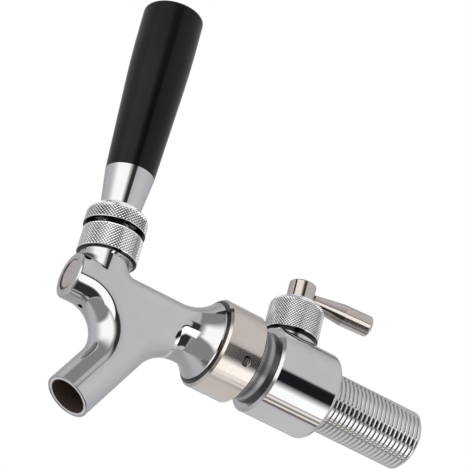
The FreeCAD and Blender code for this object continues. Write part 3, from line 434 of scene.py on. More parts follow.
@dataclass(frozen=True)
class CastChrome(Chrome):
    """The faucet body's plate, with a dull brown bore and a round neck.

    It has a painted highlight and a painted shade line on the spout's rim, and painted shade in
    the nook beside the neck.
    """

    bore_radius: float = 6.68 * MM
    bore_length: float = 31.5 * MM
    neck_radius: float = 9.5 * MM
    neck_foot: float = 4.2 * MM
    neck_top: float = 11.0 * MM
    neck_flare: float = 0.15
    web_slope: float = 0.5
    nook_rear: Point = (-7.6 * MM, -5.4 * MM)
    nook_front: Point = (-10.2 * MM, -9.8 * MM)
    waist_station: float = 62.3 * MM
    tail_station: float = 49.2 * MM
    flare_curve: float = 17.4 * MM

    def paint_light_and_dull(self, sheet: Sheet, colour: Signal, gloss: Signal) -> PaintedPlate:
        """Dull the bore; paint a highlight and shade line on the rim, and shade in the nook."""
        radius, height = self.from_axis(sheet, self.place(sheet, SPOUT_AXIS))
        bore = radius.fall(self.bore_radius + 0.05 * MM, self.bore_radius + 0.2 * MM) * (
            height.rise(-self.bore_length - MM, -self.bore_length))
        # Painted highlight: a white ring round the mouth's inner edge
        rim = radius.between(self.bore_radius + 0.3 * MM, self.bore_radius + 0.9 * MM,
                             0.15 * MM) * height.rise(-0.7 * MM, -0.4 * MM)
        colour = sheet.blend(bore, colour, BORE_BROWN)
        colour = sheet.blend(rim, colour, RIM_HIGHLIGHT)
        # Painted shade: a dark line round two parts of the rim's outer edge
        colour = sheet.blend(self.rim_shade_line(sheet, radius, height), colour, PAINTED_SHADE)
        _, y, z = sheet.split(self.place(sheet, TAP_AXIS))
        # Painted shade in the nook between the neck and the port barrel
        nook = self.above_foot(y, z).between(0.3 * MM, 2.6 * MM, 0.3 * MM, 0.8 * MM) * (
            self.below_bonnet(z)) * y.fall(*self.nook_rear) * y.rise(*self.nook_front)
        colour = sheet.blend(nook, colour, NOOK_SHADE)
        return colour, 1.0 - bore * 0.92, gloss

    def rim_shade_line(self, sheet: Sheet, radius: Signal, height: Signal) -> Signal:
        """Mask of a painted shade line round two parts of the rim's outer edge.

        Args:
            sheet: The sheet.
            radius: Distance from the spout's axis.
            height: Height along it, from the mouth.

        Returns:
            The mask.
        """
        x, y, z = sheet.split(sheet.own_place())
        behind = y - SPOUT_AXIS.centre[1]
        above = z - SPOUT_AXIS.centre[2]
        across, along = (x * way[0] + behind * way[1] + above * way[2]
                         for way in (PICTURE_RIGHT, PICTURE_UP))
        near = across.rise(2.4 * MM, 3.4 * MM) * along.between(-3.3 * MM, 4.5 * MM, 0.8 * MM)
        far = across.fall(-1.6 * MM, -0.6 * MM) * along.fall(2.2 * MM, 3.2 * MM)
        return near.most(far) * height.rise(-0.4 * MM, -0.2 * MM) * radius.between(
            self.bore_radius + 1.05 * MM, self.bore_radius + 1.45 * MM, 0.12 * MM)

    def above_foot(self, y: Signal, z: Signal) -> Signal:
        """Height above the sloping line where the neck leaves the web."""
        return z + y * self.web_slope + (2.0 * MM - self.neck_foot)

    def below_bonnet(self, z: Signal) -> Signal:
        """Mask of what lies below the bonnet's foot."""
        return z.fall(self.neck_top - 0.1 * MM, self.neck_top)

    def form(self, sheet: Sheet) -> Signal:
        """Round off the neck against its flat web, and the flare in front of the nut."""
        own = sheet.node("NewGeometry", output="Normal")
        x, y, z = sheet.split(self.place(sheet, TAP_AXIS))
        share = self.above_foot(y, z).rise(-0.6 * MM, 0.9 * MM) * self.below_bonnet(z) * (
            y.between(-self.neck_radius - 0.4 * MM, -1.2 * MM, 0.4 * MM, 1.6 * MM))
        bent = self.turned(sheet, own, share, (x, y, -self.neck_flare * self.neck_radius))
        x, y, z = sheet.split(sheet.own_place())
        radius = (x * x + z * z).root()
        tilt = ((y + self.waist_station) / self.flare_curve).most(0.0)
        upright = (1.0 - tilt * tilt).root()
        share = y.between(-self.waist_station + 0.4 * MM, -self.tail_station - 0.3 * MM,
                          2.2 * MM, 0.2 * MM) * radius.rise(7.6 * MM, 7.9 * MM)
        return self.turned(sheet, bent, share, (x / radius * upright, tilt * -1.0,
                                                z / radius * upright))

    @staticmethod
    def turned(sheet: Sheet, normal: Signal, share: Signal,
               parts: tuple[Value, Value, Value]) -> Signal:
        """Turn a normal towards another one.

        Args:
            sheet: The sheet.
            normal: The normal in the world.
            share: How far it turns, from 0 to 1.
            parts: The other normal's three parts on the object.

        Returns:
            The turned normal.
        """
        other = sheet.node("VectorTransform", {
            "vector_type": "NORMAL", "convert_from": "OBJECT", "convert_to": "WORLD"},
            {0: sheet.node("CombineXYZ", None, dict(zip("XYZ", parts)))})
        mixed = sheet.node("Mix", {"data_type": "VECTOR"}, {
            0: share, 4: normal, 5: sheet.vector("NORMALIZE", other)}, output=1)
        return sheet.vector("NORMALIZE", mixed)


@dataclass(frozen=True)
class KnurlChrome(Finish):
    """Chrome plate over a knurl, with a painted highlight and painted shade.

    The tops of the knurl lie at one reach from the core, a circle round the axis. The plate is
    brighter than plain chrome, a painted highlight on the tops, and has painted shade in the
    grooves, below the ring's foot, and inside below the hollow's top.
    """

    core: Point = (0.0, 0.0)
    reach: float = 0.01
    depth: float = 0.0003
    groove_shade: float = 0.24
    foot: float = 0.0
    hollow: float = 0.0
    ripple: float = 0.0006
    cloud_scale: float = 420.0

    def shader(self, sheet: Sheet) -> Signal:
        """Painted highlight on the tops, painted shade in the grooves, inside and underside."""
        place = self.place(sheet)
        radius, height = self.from_axis(sheet, place)
        out = radius - self.core[0]
        up = (height - self.core[1]).most(0.0)
        sunk = (self.reach - (out * out + up * up).root()) / self.depth
        clouds = sheet.noise(place, self.cloud_scale, 3.0)
        # Painted shade in the knurl's grooves
        groove_shade_mask = sunk.between(0.72, 1.25, 0.3, 0.1) * (0.8 + clouds * 0.3)
        colour = sheet.blend(groove_shade_mask, (*self.colour, 1.0), (*[self.groove_shade] * 3, 1.0))
        # Painted shade inside the hollow and under the ring's foot
        inside = sunk.rise(1.5, 1.8) * height.fall(self.hollow, self.hollow + 0.1 * MM)
        under = height.fall(self.foot - 0.2 * MM, self.foot - 0.05 * MM)
        colour = sheet.blend(inside.most(under), colour, PAINTED_SHADE)
        gloss = self.roughness * (0.7 + clouds * 0.6)
        return sheet.metal(colour, gloss, sheet.bump(clouds, self.ripple * MM))


@dataclass(frozen=True)
class TurnedMetal(Finish):
    """Metal left as the lathe and a fine brush leave it, with rings round its axis."""

    line_depth: float = 0.002
    lines_per_metre: float = 5000.0
    patch_scale: float = 120.0

    def shader(self, sheet: Sheet) -> Signal:
        """Satin metal with tool lines and slightly warmer patches."""
        place = self.place(sheet)
        patches = sheet.noise(place, self.patch_scale, 3.0)
        lines = self.tool_lines(sheet, place, self.lines_per_metre)
        warm = (self.colour[0], self.colour[1] * 0.965, self.colour[2] * 0.93, 1.0)
        colour = sheet.blend(patches.rise(0.35, 0.7), (*self.colour, 1.0), warm)
        colour = self.joint(sheet, place, colour)
        gloss = self.roughness * (0.72 + lines * 0.4 + patches * 0.16)
        return sheet.metal(colour, gloss, sheet.bump(lines, self.line_depth * MM))

    def joint(self, sheet: Sheet, place: Signal, colour: Signal) -> Signal:
        """Paint shade at a joint, which plain turned metal doesn't have."""
        return colour


@dataclass(frozen=True)
class NutNickel(TurnedMetal):
    """The coupling nut's metal, with painted shade on its front face round the faucet's tail."""

    front_station: float = 48.2 * MM

    def joint(self, sheet: Sheet, place: Signal, colour: Signal) -> Signal:
        """Paint shade on the front face, which stands close behind the flare's edge."""
        behind = sheet.split(place)[2]
        # Painted shade on the front face, close behind the flare's edge
        face = behind.fall(0.1 * MM - self.front_station, 0.25 * MM - self.front_station)
        return sheet.blend(face, colour, NUT_FACE_SHADE)


@dataclass(frozen=True)
class PortNickel(TurnedMetal):
    """The guide piston's metal, with painted brown shade round one side of its front."""

    edge_radius: float = 5.7 * MM
    front_station: float = 103.2 * MM

    def joint(self, sheet: Sheet, place: Signal, colour: Signal) -> Signal:
        """Paint brown shade on the edge of the front face, on its lower far side."""
        radius, behind = self.from_axis(sheet, place)
        x, _, z = sheet.split(sheet.own_place())
        # Painted brown shade on the lower far side of the front face's edge
        line = radius.rise(self.edge_radius - 1.1 * MM, self.edge_radius - 0.9 * MM) * (
            behind.fall(-self.front_station, 0.1 * MM - self.front_station)) * (
            (x * 0.92 + z * 0.39).fall(-1.5 * MM, 1.5 * MM))
        return sheet.blend(line, colour, PORT_EDGE_SHADE)


@dataclass(frozen=True)
class Moulded(Finish):
    """Moulded plastic or rubber, with a soft skin and a faint flow of its colour."""

    skin: float = 0.004
    gleam: float = 0.5
    flow_scale: float = 70.0
    skin_scale: float = 2600.0

    def shader(self, sheet: Sheet) -> Signal:
        """Plastic with fine skin texture."""
        place = self.place(sheet)
        flow = sheet.noise(place, self.flow_scale, 4.0)
        skin = sheet.noise(place, self.skin_scale)
        lighter = tuple(min(1.0, part * 1.25 + 0.002) for part in self.colour)
        colour = sheet.blend(flow.rise(0.3, 0.75), (*self.colour, 1.0), (*lighter, 1.0))
        gloss = self.roughness * (0.8 + flow * 0.25 + skin * 0.15)
        normal = sheet.bump(skin, self.skin * MM, 0.6)
        return sheet.node("BsdfPrincipled", None, {
            "Base Color": colour, "Roughness": gloss, "Specular IOR Level": self.gleam,
            "Normal": normal})


CHROME_COLOUR = (0.575, 0.578, 0.585)
THREAD_COLOUR = (0.6, 0.6, 0.605)
# The knurls' plate is far brighter than the chrome elsewhere: a painted highlight on their tops
KNURL_HIGHLIGHT_COLOUR = (0.93, 0.93, 0.935)
NICKEL_COLOUR = (0.61, 0.565, 0.525)
DARK_NICKEL_COLOUR = (0.52, 0.48, 0.455)
STEEL_COLOUR = (0.56, 0.55, 0.53)
BRASS_COLOUR = (0.72, 0.52, 0.26)
NYLON_COLOUR = (0.74, 0.73, 0.69)
RUBBER_COLOUR = (0.02, 0.02, 0.021)
GRIP_COLOUR = (0.005, 0.005, 0.0055)
MIRROR = 0.035
FINE_LINE = 0.00008

THREAD_CHROME = Chrome("threaded_chrome", THREAD_COLOUR, 0.08)

# The solids that show as they were packed, by the finish that they share
NODE_FINISHES: dict[tuple[str, ...], Finish] = {
    ("flow_housing",): HousingChrome("housing_chrome", CHROME_COLOUR, MIRROR),
    ("faucet_body",): CastChrome("cast_chrome", CHROME_COLOUR, MIRROR),
    ("handle_ferrule",): Chrome("polished_chrome", CHROME_COLOUR, MIRROR),
    ("coupling_nut",): NutNickel(
        "satin_nickel_nut", NICKEL_COLOUR, 0.11, line_depth=FINE_LINE, lines_per_metre=1400.0),
    ("flow_spindle",): TurnedMetal(
        "satin_nickel_stub", DARK_NICKEL_COLOUR, 0.09, FLOW_AXIS, line_depth=FINE_LINE),
    ("flow_lever",): TurnedMetal(
        "satin_nickel_lever", DARK_NICKEL_COLOUR, 0.13, FLOW_LEVER_AXIS, line_depth=FINE_LINE),
    ("valve_shaft",): PortNickel("satin_nickel_port", NICKEL_COLOUR, 0.07, line_depth=FINE_LINE),
    ("nut_snap_ring", "seat_plate", "shaft_nut"): TurnedMetal(
        "stainless_steel_shank", STEEL_COLOUR, 0.25),
    ("lever",): TurnedMetal("stainless_steel_stud", STEEL_COLOUR, 0.22, HANDLE_AXIS),
    ("handle_insert",): TurnedMetal("raw_brass", BRASS_COLOUR, 0.3, HANDLE_AXIS),
    ("compensator_cone", "gland_washer", "ball_washer", "friction_washer"): Moulded(
        "white_nylon", NYLON_COLOUR, 0.42),
    ("spindle_seal", "coupling_washer", "piston_seal", "seat_washer"): Moulded(
        "black_rubber", RUBBER_COLOUR, 0.6, skin=0.01),
    ("handle_grip",): Moulded(
        "black_grip", GRIP_COLOUR, 0.16, HANDLE_AXIS, skin=0.0015, gleam=0.16),
}


# Handwork on a mesh

class Bench:
    """Edit-mode handwork on the piece that is being made."""

    @staticmethod
    def clear() -> None:
        """Leave edit mode and deselect everything."""
        if bpy.context.object is not None and bpy.context.object.mode == "EDIT":
            Bench.leave()
        bpy.ops.object.select_all(action="DESELECT")

    @staticmethod
    def edit() -> None:
        """Enter edit mode, with vertices to select."""
        bpy.ops.object.mode_set(mode="EDIT")
        bpy.ops.mesh.select_mode(type="VERT")

    @staticmethod
    def leave() -> None:
        """Return to object mode."""
        bpy.ops.object.mode_set(mode="OBJECT")

    @staticmethod
    def pick(keep: Keep) -> None:
        """Select the vertices whose place passes a test, and nothing else."""
        mesh = bmesh.from_edit_mesh(bpy.context.object.data)
        for vertex in mesh.verts:
            vertex.select = keep(vertex.co)
        mesh.select_mode = {"VERT"}
        mesh.select_flush_mode()
        bmesh.update_edit_mesh(bpy.context.object.data)

    @staticmethod
    def settle(matrix: Matrix) -> None:
        """Move the finished piece to its place, and write the place into its mesh."""
        bpy.context.object.matrix_world = matrix
        bpy.ops.object.transform_apply()

    @staticmethod
    def apply(kind: str, **settings: Any) -> None:
        """Add a modifier to the piece and apply it."""
        piece = bpy.context.object
        modifier = piece.modifiers.new(kind.title(), kind)
        for name, value in settings.items():
            setattr(modifier, name, value)
        bpy.ops.object.modifier_apply(modifier=modifier.name)


class Lathe(Bench):
    """A closed ring that is drawn up from a circle, one edge loop after another."""

    def __init__(self, name: str, segments: int, radius: float, height: float) -> None:
        """Put the first loop on the faceplate.

        Args:
            name: Name of the piece.
            segments: Points round the axis.
            radius: Radius of the first loop.
            height: Its height on the axis.
        """
        self.radius = radius
        self.height = height
        self.clear()
        bpy.ops.mesh.primitive_circle_add(vertices=segments, radius=radius, fill_type="NOTHING",
                                          location=ORIGIN)
        self.piece = bpy.context.object
        self.piece.name = name
        self.edit()
        bpy.ops.mesh.select_all(action="SELECT")
        bpy.ops.transform.translate(value=(0.0, 0.0, height))

    def draw(self, radius: float, height: float) -> None:
        """Extrude the last loop to a new radius and height."""
        lift = (0.0, 0.0, height - self.height)
        bpy.ops.mesh.extrude_edges_move(TRANSFORM_OT_translate={"value": lift})
        share = radius / self.radius
        if abs(share - 1.0) > STEADY:
            centre = (0.0, 0.0, height)
            bpy.ops.transform.resize(value=(share, share, 1.0), center_override=centre)
        self.radius = radius
        self.height = height

    def sink(self, falls_in: Keep, depth: float) -> None:
        """Sink the points that pass a test, each along its own normal."""
        self.pick(falls_in)
        bpy.ops.transform.shrink_fatten(value=-depth)

    def close(self) -> None:
        """Weld the last loop to the first and turn the faces outwards."""
        bpy.ops.mesh.select_all(action="SELECT")
        bpy.ops.mesh.remove_doubles(threshold=MERGE)
        bpy.ops.mesh.normals_make_consistent()


# Knurled pieces

# A core so far up the axis that the tops of a knurl form a plain cylinder
FAR_CORE = (0.0, 1.0)


@dataclass
class KnurledRing:
    """A turned ring whose outside is pressed with a diamond knurl."""

    name: str
    node: str
    body: str
    axis: LatheAxis
    band: Sequence[Point]
    inside: Sequence[Point]
    core: Point
    reach: float
    diamonds: int = 54
    row_height: float = 0.29 * MM
    depth: float = 0.36 * MM
    shoulder: float = 0.2
    groove_shade: float = 0.24
    gloss: float = 0.1
    hollow: float = 0.0

    def rows(self) -> list[Point]:
        """Points at even steps along the outline of the knurled band.

        Returns:
            Radius and height of each row, from the foot to the top.
        """
        lengths = [math.dist(a, b) for a, b in zip(self.band, self.band[1:])]
        total = sum(lengths)
        count = max(2, round(total / self.row_height))
        return [self._point_at(lengths, total * step / count) for step in range(count + 1)]

    def _point_at(self, lengths: Sequence[float], reach: float) -> Point:
        """The band's point at a distance from its foot."""
        for start, end, length in zip(self.band, self.band[1:], lengths):
            if reach <= length + MERGE:
                share = min(1.0, reach / length)
                return (start[0] + (end[0] - start[0]) * share,
                        start[1] + (end[1] - start[1]) * share)
            reach -= length
        return self.band[-1]

    def steps_to_groove(self, rows: Sequence[Point]) -> Callable[[Vector], int]:
        """Make the rule that counts steps from a point to the nearest of two crossed grooves.

        Args:
            rows: Radius and height of each row of the band.

        Returns:
            A function of a place that gives 0 in a groove, 1 beside it, 2 on a top or off the
            band.
        """
        half = GROOVE_STEPS // 2
        tree = KDTree(len(rows))
        for number, point in enumerate(rows):
            tree.insert((*point, 0.0), number)
        tree.balance()

        def steps(place: Vector) -> int:
            """Steps from a place to the nearest groove."""
            _, row, distance = tree.find((place.xy.length, place.z, 0.0))
            if distance > TOUCH or row in (0, len(rows) - 1):
                return half
            column = round(math.atan2(place.y, place.x) / TURN * self.diamonds * GROOVE_STEPS)
            return min(abs((column + way * row + half) % GROOVE_STEPS - half) for way in (1, -1))

        return steps

    def build(self) -> bpy.types.Object:
        """Draw the ring up from its foot, sink the grooves and settle it on its axis.

        Returns:
            The finished piece.
        """
        rows = self.rows()
        lathe = Lathe(self.name, self.diamonds * GROOVE_STEPS, *rows[0])
        for point in (*rows[1:], *self.inside, rows[0]):
            lathe.draw(*point)
        lathe.close()
        steps = self.steps_to_groove(rows)
        lathe.sink(lambda place: steps(place) == 0, self.depth)
        lathe.sink(lambda place: steps(place) == 1, self.depth * self.shoulder)
        lathe.leave()
        lathe.apply("TRIANGULATE", quad_method="SHORTEST_DIAGONAL")
        lathe.settle(self.axis.matrix())
        return lathe.piece

    def dress(self) -> bpy.types.Object:
        """Build the piece, finish it and let it ride on its body.

        Returns:
            The finished piece.
        """
        piece = self.build()
        KnurlChrome(f"{self.name}_chrome", KNURL_HIGHLIGHT_COLOUR, self.gloss, self.axis, self.core,
                    self.reach, self.depth, self.groove_shade, self.band[0][1],
                    self.hollow).put_on(piece)
        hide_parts(self.node)
        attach(piece, self.body)
        return piece


def dome(centre: Point, radius: float, start: float, end: float, steps: int) -> list[Point]:
    """Points along an arc of an outline.

    Args:
        centre: Radius and height of the arc's centre.
        radius: The arc's radius.
        start: Its first angle above level, in degrees.
        end: Its last angle.
        steps: How many steps it takes.

    Returns:
        Points of the outline.
    """
    angles = [math.radians(start + (end - start) * step / steps) for step in range(steps + 1)]
    return [(centre[0] + radius * math.cos(angle), centre[1] + radius * math.sin(angle))
            for angle in angles]


def millimetres(*points: Point) -> list[Point]:
    """Outline points given in millimetres, in metres."""
    return [(radius * MM, height * MM) for radius, height in points]


def knurled_rings() -> list[KnurledRing]:
    """The bonnet, the lever's collar and the flow-control cap."""
    bonnet = KnurledRing(
        "bonnet_knurl", "compression_bonnet", "faucet", TAP_AXIS,
        band=millimetres((10.66, 11.6), (10.66, 20.1)),
        inside=millimetres((10.1, 20.7), (7.4, 20.7), (5.5, 16.45), (8.95, 16.45),
                           (8.95, 11.0), (10.1, 11.0)),
        core=FAR_CORE, reach=10.66 * MM)
    collar_core = (6.477, 25.76)
    collar_reach = 4.56
    collar = KnurledRing(
        "collar_knurl", "lever_collar", "handle", HANDLE_AXIS,
        band=millimetres((10.96, 22.5), *dome(collar_core, collar_reach, 11.0, 78.0, 14)),
        inside=millimetres((7.22, 30.3), (4.78, 30.3), (4.78, 25.4), (9.95, 25.4),
                           (9.95, 22.2), (10.9, 22.2)),
        core=millimetres(collar_core)[0], reach=collar_reach * MM, hollow=25.5 * MM)
    cap_core = (6.5, 26.6)
    cap_reach = 3.56
    cap = KnurledRing(
        "cap_knurl", "flow_cap", "faucet", FLOW_AXIS,
        band=millimetres((10.06, 16.7), *dome(cap_core, cap_reach, 0.0, 74.0, 12)),
        inside=millimetres((6.5, 30.2), (5.01, 30.2), (5.01, 26.55), (8.05, 26.55),
                           (8.05, 16.2), (9.6, 16.2)),
        core=millimetres(cap_core)[0], reach=cap_reach * MM, hollow=26.6 * MM,
        diamonds=58, row_height=0.27 * MM, depth=0.3 * MM, groove_shade=0.1, gloss=0.16)
    return [bonnet, collar, cap]


# Threaded shank

@dataclass
class ShankThread:
    """Straight pipe thread of fourteen turns to the inch on a bored tube."""

    radius: float = 11.11 * MM
    pitch: float = 1.814 * MM
    length: float = 39.6 * MM
    depth: float = 0.66 * MM
    crest: float = 0.92 * MM
    trough: float = 0.14 * MM
    end_cut: float = 1.113 * MM
    bore: float = 4.0 * MM
    collar_radius: float = 10.81 * MM
    collar_depth: float = 1.2 * MM
    spigot_radius: float = 9.3 * MM
    spigot_length: float = 8.0 * MM
    bevel: float = 0.06 * MM
    spare: float = 1.0 * MM
    spare_turns: int = 2
    segments: int = 96
    smooth_angle: float = math.radians(24)

    def profile(self) -> list[Point]:
        """One turn of the thread as radius and distance along the axis."""
        root = self.radius - self.depth
        start = self.trough + (self.pitch - self.crest - self.trough) / 2
        end = start + self.crest
        return [
            (root, 0.0),
            (root, self.trough),
            (self.radius - self.bevel, start - self.bevel * 0.6),
            (self.radius, start + self.bevel * 0.5),
            (self.radius, end - self.bevel * 0.5),
            (self.radius - self.bevel, end + self.bevel * 0.6),
            (root, self.pitch),
        ]

    def wind(self) -> bpy.types.Object:
        """Wind the profile into a closed screw that is longer than the shank."""
        points = self.profile()
        Bench.clear()
        bpy.ops.mesh.primitive_plane_add(size=MM, location=ORIGIN)
        screw = bpy.context.object
        screw.name = "shank_thread"
        Bench.edit()
        bpy.ops.mesh.select_all(action="SELECT")
        bpy.ops.mesh.merge(type="CENTER")
        start = -self.spigot_length - self.spare_turns * self.pitch
        bpy.ops.transform.translate(value=(points[0][0], 0.0, start + points[0][1]))
        for before, after in zip(points, points[1:]):
            step = (after[0] - before[0], 0.0, after[1] - before[1])
            bpy.ops.mesh.extrude_vertices_move(TRANSFORM_OT_translate={"value": step})
        Bench.leave()
        turns = math.ceil((self.length + self.spigot_length) / self.pitch) + 2 * self.spare_turns
        Bench.apply("SCREW", axis="Z", angle=TURN, screw_offset=self.pitch, iterations=turns,
                    steps=self.segments, render_steps=self.segments, use_smooth_shade=False)
        Bench.edit()
        bpy.ops.mesh.select_all(action="SELECT")
        bpy.ops.mesh.remove_doubles(threshold=SEAM)
        bpy.ops.mesh.select_all(action="DESELECT")
        bpy.ops.mesh.select_non_manifold()
        bpy.ops.mesh.edge_face_add()
        bpy.ops.mesh.select_all(action="SELECT")
        bpy.ops.mesh.normals_make_consistent()
        Bench.leave()
        return screw

    def blank(self) -> bpy.types.Object:
        """Turn the plain tube that the screw is cut down to."""
        lathe = Lathe("shank_blank", self.segments, self.bore, -self.spigot_length)
        outline = [
            (self.spigot_radius, -self.spigot_length),
            (self.spigot_radius, -self.collar_depth),
            (self.collar_radius, -self.collar_depth),
            (self.collar_radius, 0.0),
            (self.radius + self.spare, 0.0),
            (self.radius + self.spare, self.length - self.end_cut - self.spare),
            (self.radius - self.end_cut, self.length),
            (self.bore, self.length),
            (self.bore, -self.spigot_length),
        ]
        for point in outline:
            lathe.draw(*point)
        lathe.close()
        lathe.leave()
        return lathe.piece

    def dress(self) -> bpy.types.Object:
        """Cut the screw down to the blank, lay it along the shank and finish it.

        Returns:
            The finished piece.
        """
        blank = self.blank()
        screw = self.wind()
        Bench.apply("BOOLEAN", operation="INTERSECT", solver="EXACT", object=blank)
        bpy.data.objects.remove(blank)
        Bench.clear()
        screw.select_set(True)
        bpy.context.view_layer.objects.active = screw
        Bench.settle(SHANK_AXIS.matrix())
        bpy.ops.object.shade_smooth_by_angle(angle=self.smooth_angle)
        THREAD_CHROME.put_on(screw)
        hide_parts("threaded_shank")
        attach(screw, "faucet")
        return screw


# Studio

class Tone(Enum):
    """What the metal mirrors: the tent's cloth, its lights and its cards."""

    CLOTH = (0.74, 0.735, 0.765)
    PALE_CLOTH = (0.86, 0.85, 0.87)
    BACK_CLOTH = (0.55, 0.545, 0.565)
    DIM_CLOTH = (0.38, 0.37, 0.365)
    SOFTBOX = (1.66, 1.65, 1.62)
    CARD = (1.75, 1.75, 1.76)
    CREAM = (1.45, 1.36, 1.28)
    BROWN = (0.22, 0.17, 0.15)
    UMBER = (0.36, 0.31, 0.28)
    FLAG = (0.018, 0.018, 0.022)
    SHADE = (0.05, 0.047, 0.046)

    def colour(self, gain: float = 1.0) -> tuple[float, float, float, float]:
        """The tone as a colour, times a gain."""
        return (*(part * gain for part in self.value), 1.0)


Cards = Sequence[tuple[float, Tone]]

# The tent's cloth by azimuth, which is darkest behind the part
CLOTH_SHEETS: Cards = (
    (-180.0, Tone.BACK_CLOTH),
    (-165.0, Tone.BACK_CLOTH),
    (-135.0, Tone.CLOTH),
    (0.0, Tone.CLOTH),
    (26.0, Tone.PALE_CLOTH),
    (50.0, Tone.PALE_CLOTH),
    (90.0, Tone.CLOTH),
    (130.0, Tone.BACK_CLOTH),
    (180.0, Tone.BACK_CLOTH),
)

# What a shiny cylinder along the shank mirrors, by the angle about the shank from +X upwards
SIDE_CARDS: Cards = (
    (-180.0, Tone.CLOTH),
    (-140.0, Tone.PALE_CLOTH),
    (-104.0, Tone.PALE_CLOTH),
    (-99.0, Tone.CLOTH),
    (-96.0, Tone.BROWN),
    (-93.0, Tone.BROWN),
    (-89.0, Tone.CREAM),
    (-87.5, Tone.CREAM),
    (-84.0, Tone.BROWN),
    (-82.0, Tone.UMBER),
    (-78.0, Tone.CREAM),
    (-75.0, Tone.CREAM),
    (-72.0, Tone.UMBER),
    (-69.0, Tone.CARD),
    (-47.0, Tone.CARD),
    (-39.0, Tone.PALE_CLOTH),
    (-33.5, Tone.DIM_CLOTH),
    (-29.0, Tone.FLAG),
    (-2.0, Tone.FLAG),
    (3.0, Tone.CLOTH),
    (15.0, Tone.PALE_CLOTH),
    (45.0, Tone.CLOTH),
    (180.0, Tone.CLOTH),
)

# Tones of the trim along the white card's edge, which only the far end of the part mirrors
TRIM = (Tone.BROWN, Tone.UMBER, Tone.CREAM)


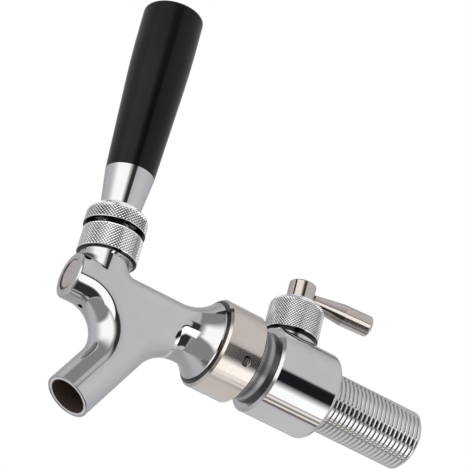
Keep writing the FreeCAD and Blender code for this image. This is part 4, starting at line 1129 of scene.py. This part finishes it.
@dataclass
class Studio:
    """White tent with a softbox, black flags and a white card, a pale floor and the camera.

    The edges and the cards' end are values of a direction's Y. That end moves with the angle
    about the shank.
    """

    floor_height: float = -0.5
    floor_size: float = 8.0
    camera_place: Triple = (0.6212, -0.3565, -0.3091)
    camera_right: Triple = (0.5352, 0.81235, 0.23163)
    camera_up: Triple = (0.27574, -0.42719, 0.86109)
    camera_back: Triple = (0.79845, -0.39699, -0.45263)
    lens: float = 168.5
    sensor: float = 36.0
    near: float = 0.01
    floor_greys: tuple[float, float] = (0.9, 0.88)
    front_edge: Point = (0.382, 0.396)
    far_edge: Point = (0.424, 0.433)
    lean_start: float = 26.0
    cards_end: float = 0.48
    cards_slope: float = 0.0065
    cards_limit: float = 0.6
    cards_edge: float = 0.012

    def camera(self) -> None:
        """Stand the camera where the photograph was taken."""
        data = bpy.data.cameras.new("camera")
        data.lens = self.lens
        data.sensor_width = self.sensor
        data.clip_start = self.near
        camera = bpy.data.objects.new("camera", data)
        columns = (self.camera_right, self.camera_up, self.camera_back)
        turn = Matrix(columns).transposed().to_4x4()
        camera.matrix_world = Matrix.Translation(self.camera_place) @ turn
        bpy.context.scene.collection.objects.link(camera)
        bpy.context.scene.camera = camera

    def floor(self) -> None:
        """Lay the pale floor, which stays out of the metal's reflections."""
        Bench.clear()
        place = (0.0, 0.0, self.floor_height)
        bpy.ops.mesh.primitive_plane_add(size=self.floor_size, location=place)
        floor = bpy.context.object
        floor.name = "floor"
        bpy.ops.object.transform_apply()
        made = bpy.data.materials.new("floor")
        made.use_nodes = True
        sheet = Sheet(made.node_tree)
        greys = [(grey, grey, grey, 1.0) for grey in self.floor_greys]
        tint = sheet.blend(sheet.noise(sheet.own_place(), 3.0), *greys)
        sheet.finish("OutputMaterial", sheet.node("BsdfDiffuse", None, {"Color": tint}))
        floor.data.materials.append(made)
        floor.visible_glossy = False

    def tent(self) -> None:
        """Paint the tent by direction: what the metal mirrors, on a white ground."""
        world = bpy.data.worlds.new("tent")
        world.use_nodes = True
        bpy.context.scene.world = world
        sheet = Sheet(world.node_tree)
        ground = sheet.node("Background", None, {"Color": (1.0, 1.0, 1.0, 1.0)})
        tent = sheet.node("Background", None, {"Color": self.tent_light(sheet)})
        seen = sheet.node("LightPath", output="Is Camera Ray")
        sheet.finish("OutputWorld", sheet.node("MixShader", None, {0: seen, 1: tent, 2: ground}))

    def tent_light(self, sheet: Sheet) -> Signal:
        """Colour of the tent in each direction.

        Args:
            sheet: The world's sheet.

        Returns:
            The colour.
        """
        x, y, z = sheet.split(sheet.node("TexCoord", output="Generated"))
        azimuth = y.degrees("ARCTAN2", x)
        height = z.degrees("ARCSINE")
        roll = z.degrees("ARCTAN2", x)
        front = y.rise(*self.front_edge)
        lean = (height - self.lean_start).most(0.0)
        panels = (
            (azimuth.between(-100.0, -13.0, 14.0, 5.0), Tone.DIM_CLOTH),
            (azimuth.between(-98.0, -27.0, 22.0, 9.0) * height.between(-15.0, 33.0, 6.0, 12.0),
             Tone.SOFTBOX),
            ((azimuth - lean).between(-17.0, 2.0, 2.5) * height.between(1.5, 33.0, 1.5, 5.0),
             Tone.SHADE),
            (azimuth.between(0.0, 30.0, 2.0) * height.between(2.5, 8.5, 1.5), Tone.SHADE),
            (azimuth.between(-22.0, 60.0, 3.0) * height.between(-28.5, 2.0, 1.0), Tone.CARD),
            (azimuth.between(-9.0, 61.0, 4.0) * height.between(-76.0, -32.0, 3.5), Tone.SHADE),
        )
        cloth = self.ramp(sheet, azimuth, CLOTH_SHEETS)
        colour = cloth
        for mask, tone in panels:
            colour = sheet.blend(mask, colour, tone.colour())
        reach = (self.cards_end - roll * self.cards_slope).least(self.cards_limit)
        beside = front * (y - reach).fall(-self.cards_edge, self.cards_edge)
        colour = sheet.blend(front, colour, cloth)
        far = y.rise(*self.far_edge)
        plain = [stop for stop in SIDE_CARDS if stop[1] not in TRIM]
        cards = sheet.blend(far, self.ramp(sheet, roll, plain),
                            self.ramp(sheet, roll, SIDE_CARDS))
        return sheet.blend(beside, colour, cards)

    @staticmethod
    def ramp(sheet: Sheet, angle: Signal, cards: Cards) -> Signal:
        """Tones by an angle, from one card to the next.

        Args:
            sheet: The world's sheet.
            angle: The angle in degrees, from -180 to 180.
            cards: Tones at their angles.

        Returns:
            The colour.
        """
        # A ramp's colours end at 1, so it holds half of each tone and is doubled after it.
        stops = [((place + 180.0) / 360.0, tone.colour(0.5)) for place, tone in cards]
        ramp = sheet.node("ValToRGB", {"stops": stops}, {0: (angle + 180.0) / 360.0})
        return sheet.node("VectorMath", {"operation": "SCALE"}, {0: ramp, "Scale": 2.0})

    def build(self) -> None:
        """Set up the camera, the floor and the tent."""
        self.camera()
        self.floor()
        self.tent()
        bpy.context.scene.view_settings.view_transform = "Standard"


def dress_nodes(nodes: dict[str, bpy.types.Object]) -> None:
    """Give every solid that shows as it is its finish.

    Args:
        nodes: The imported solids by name.
    """
    for names, finish in NODE_FINISHES.items():
        finish.put_on(*(nodes[name] for name in names))
        LOG.info("%s: %s", ", ".join(names), finish.name)


def main() -> None:
    """Build the studio, then every piece in order."""
    logging.basicConfig(level=logging.INFO, format="%(name)s: %(message)s")
    Studio().build()
    dress_nodes(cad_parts)
    pieces = [ring.dress() for ring in knurled_rings()]
    pieces.append(ShankThread().dress())
    for piece in pieces:
        LOG.info("%s: %d faces", piece.name, len(piece.data.polygons))


if __name__ == "__main__":
    main()
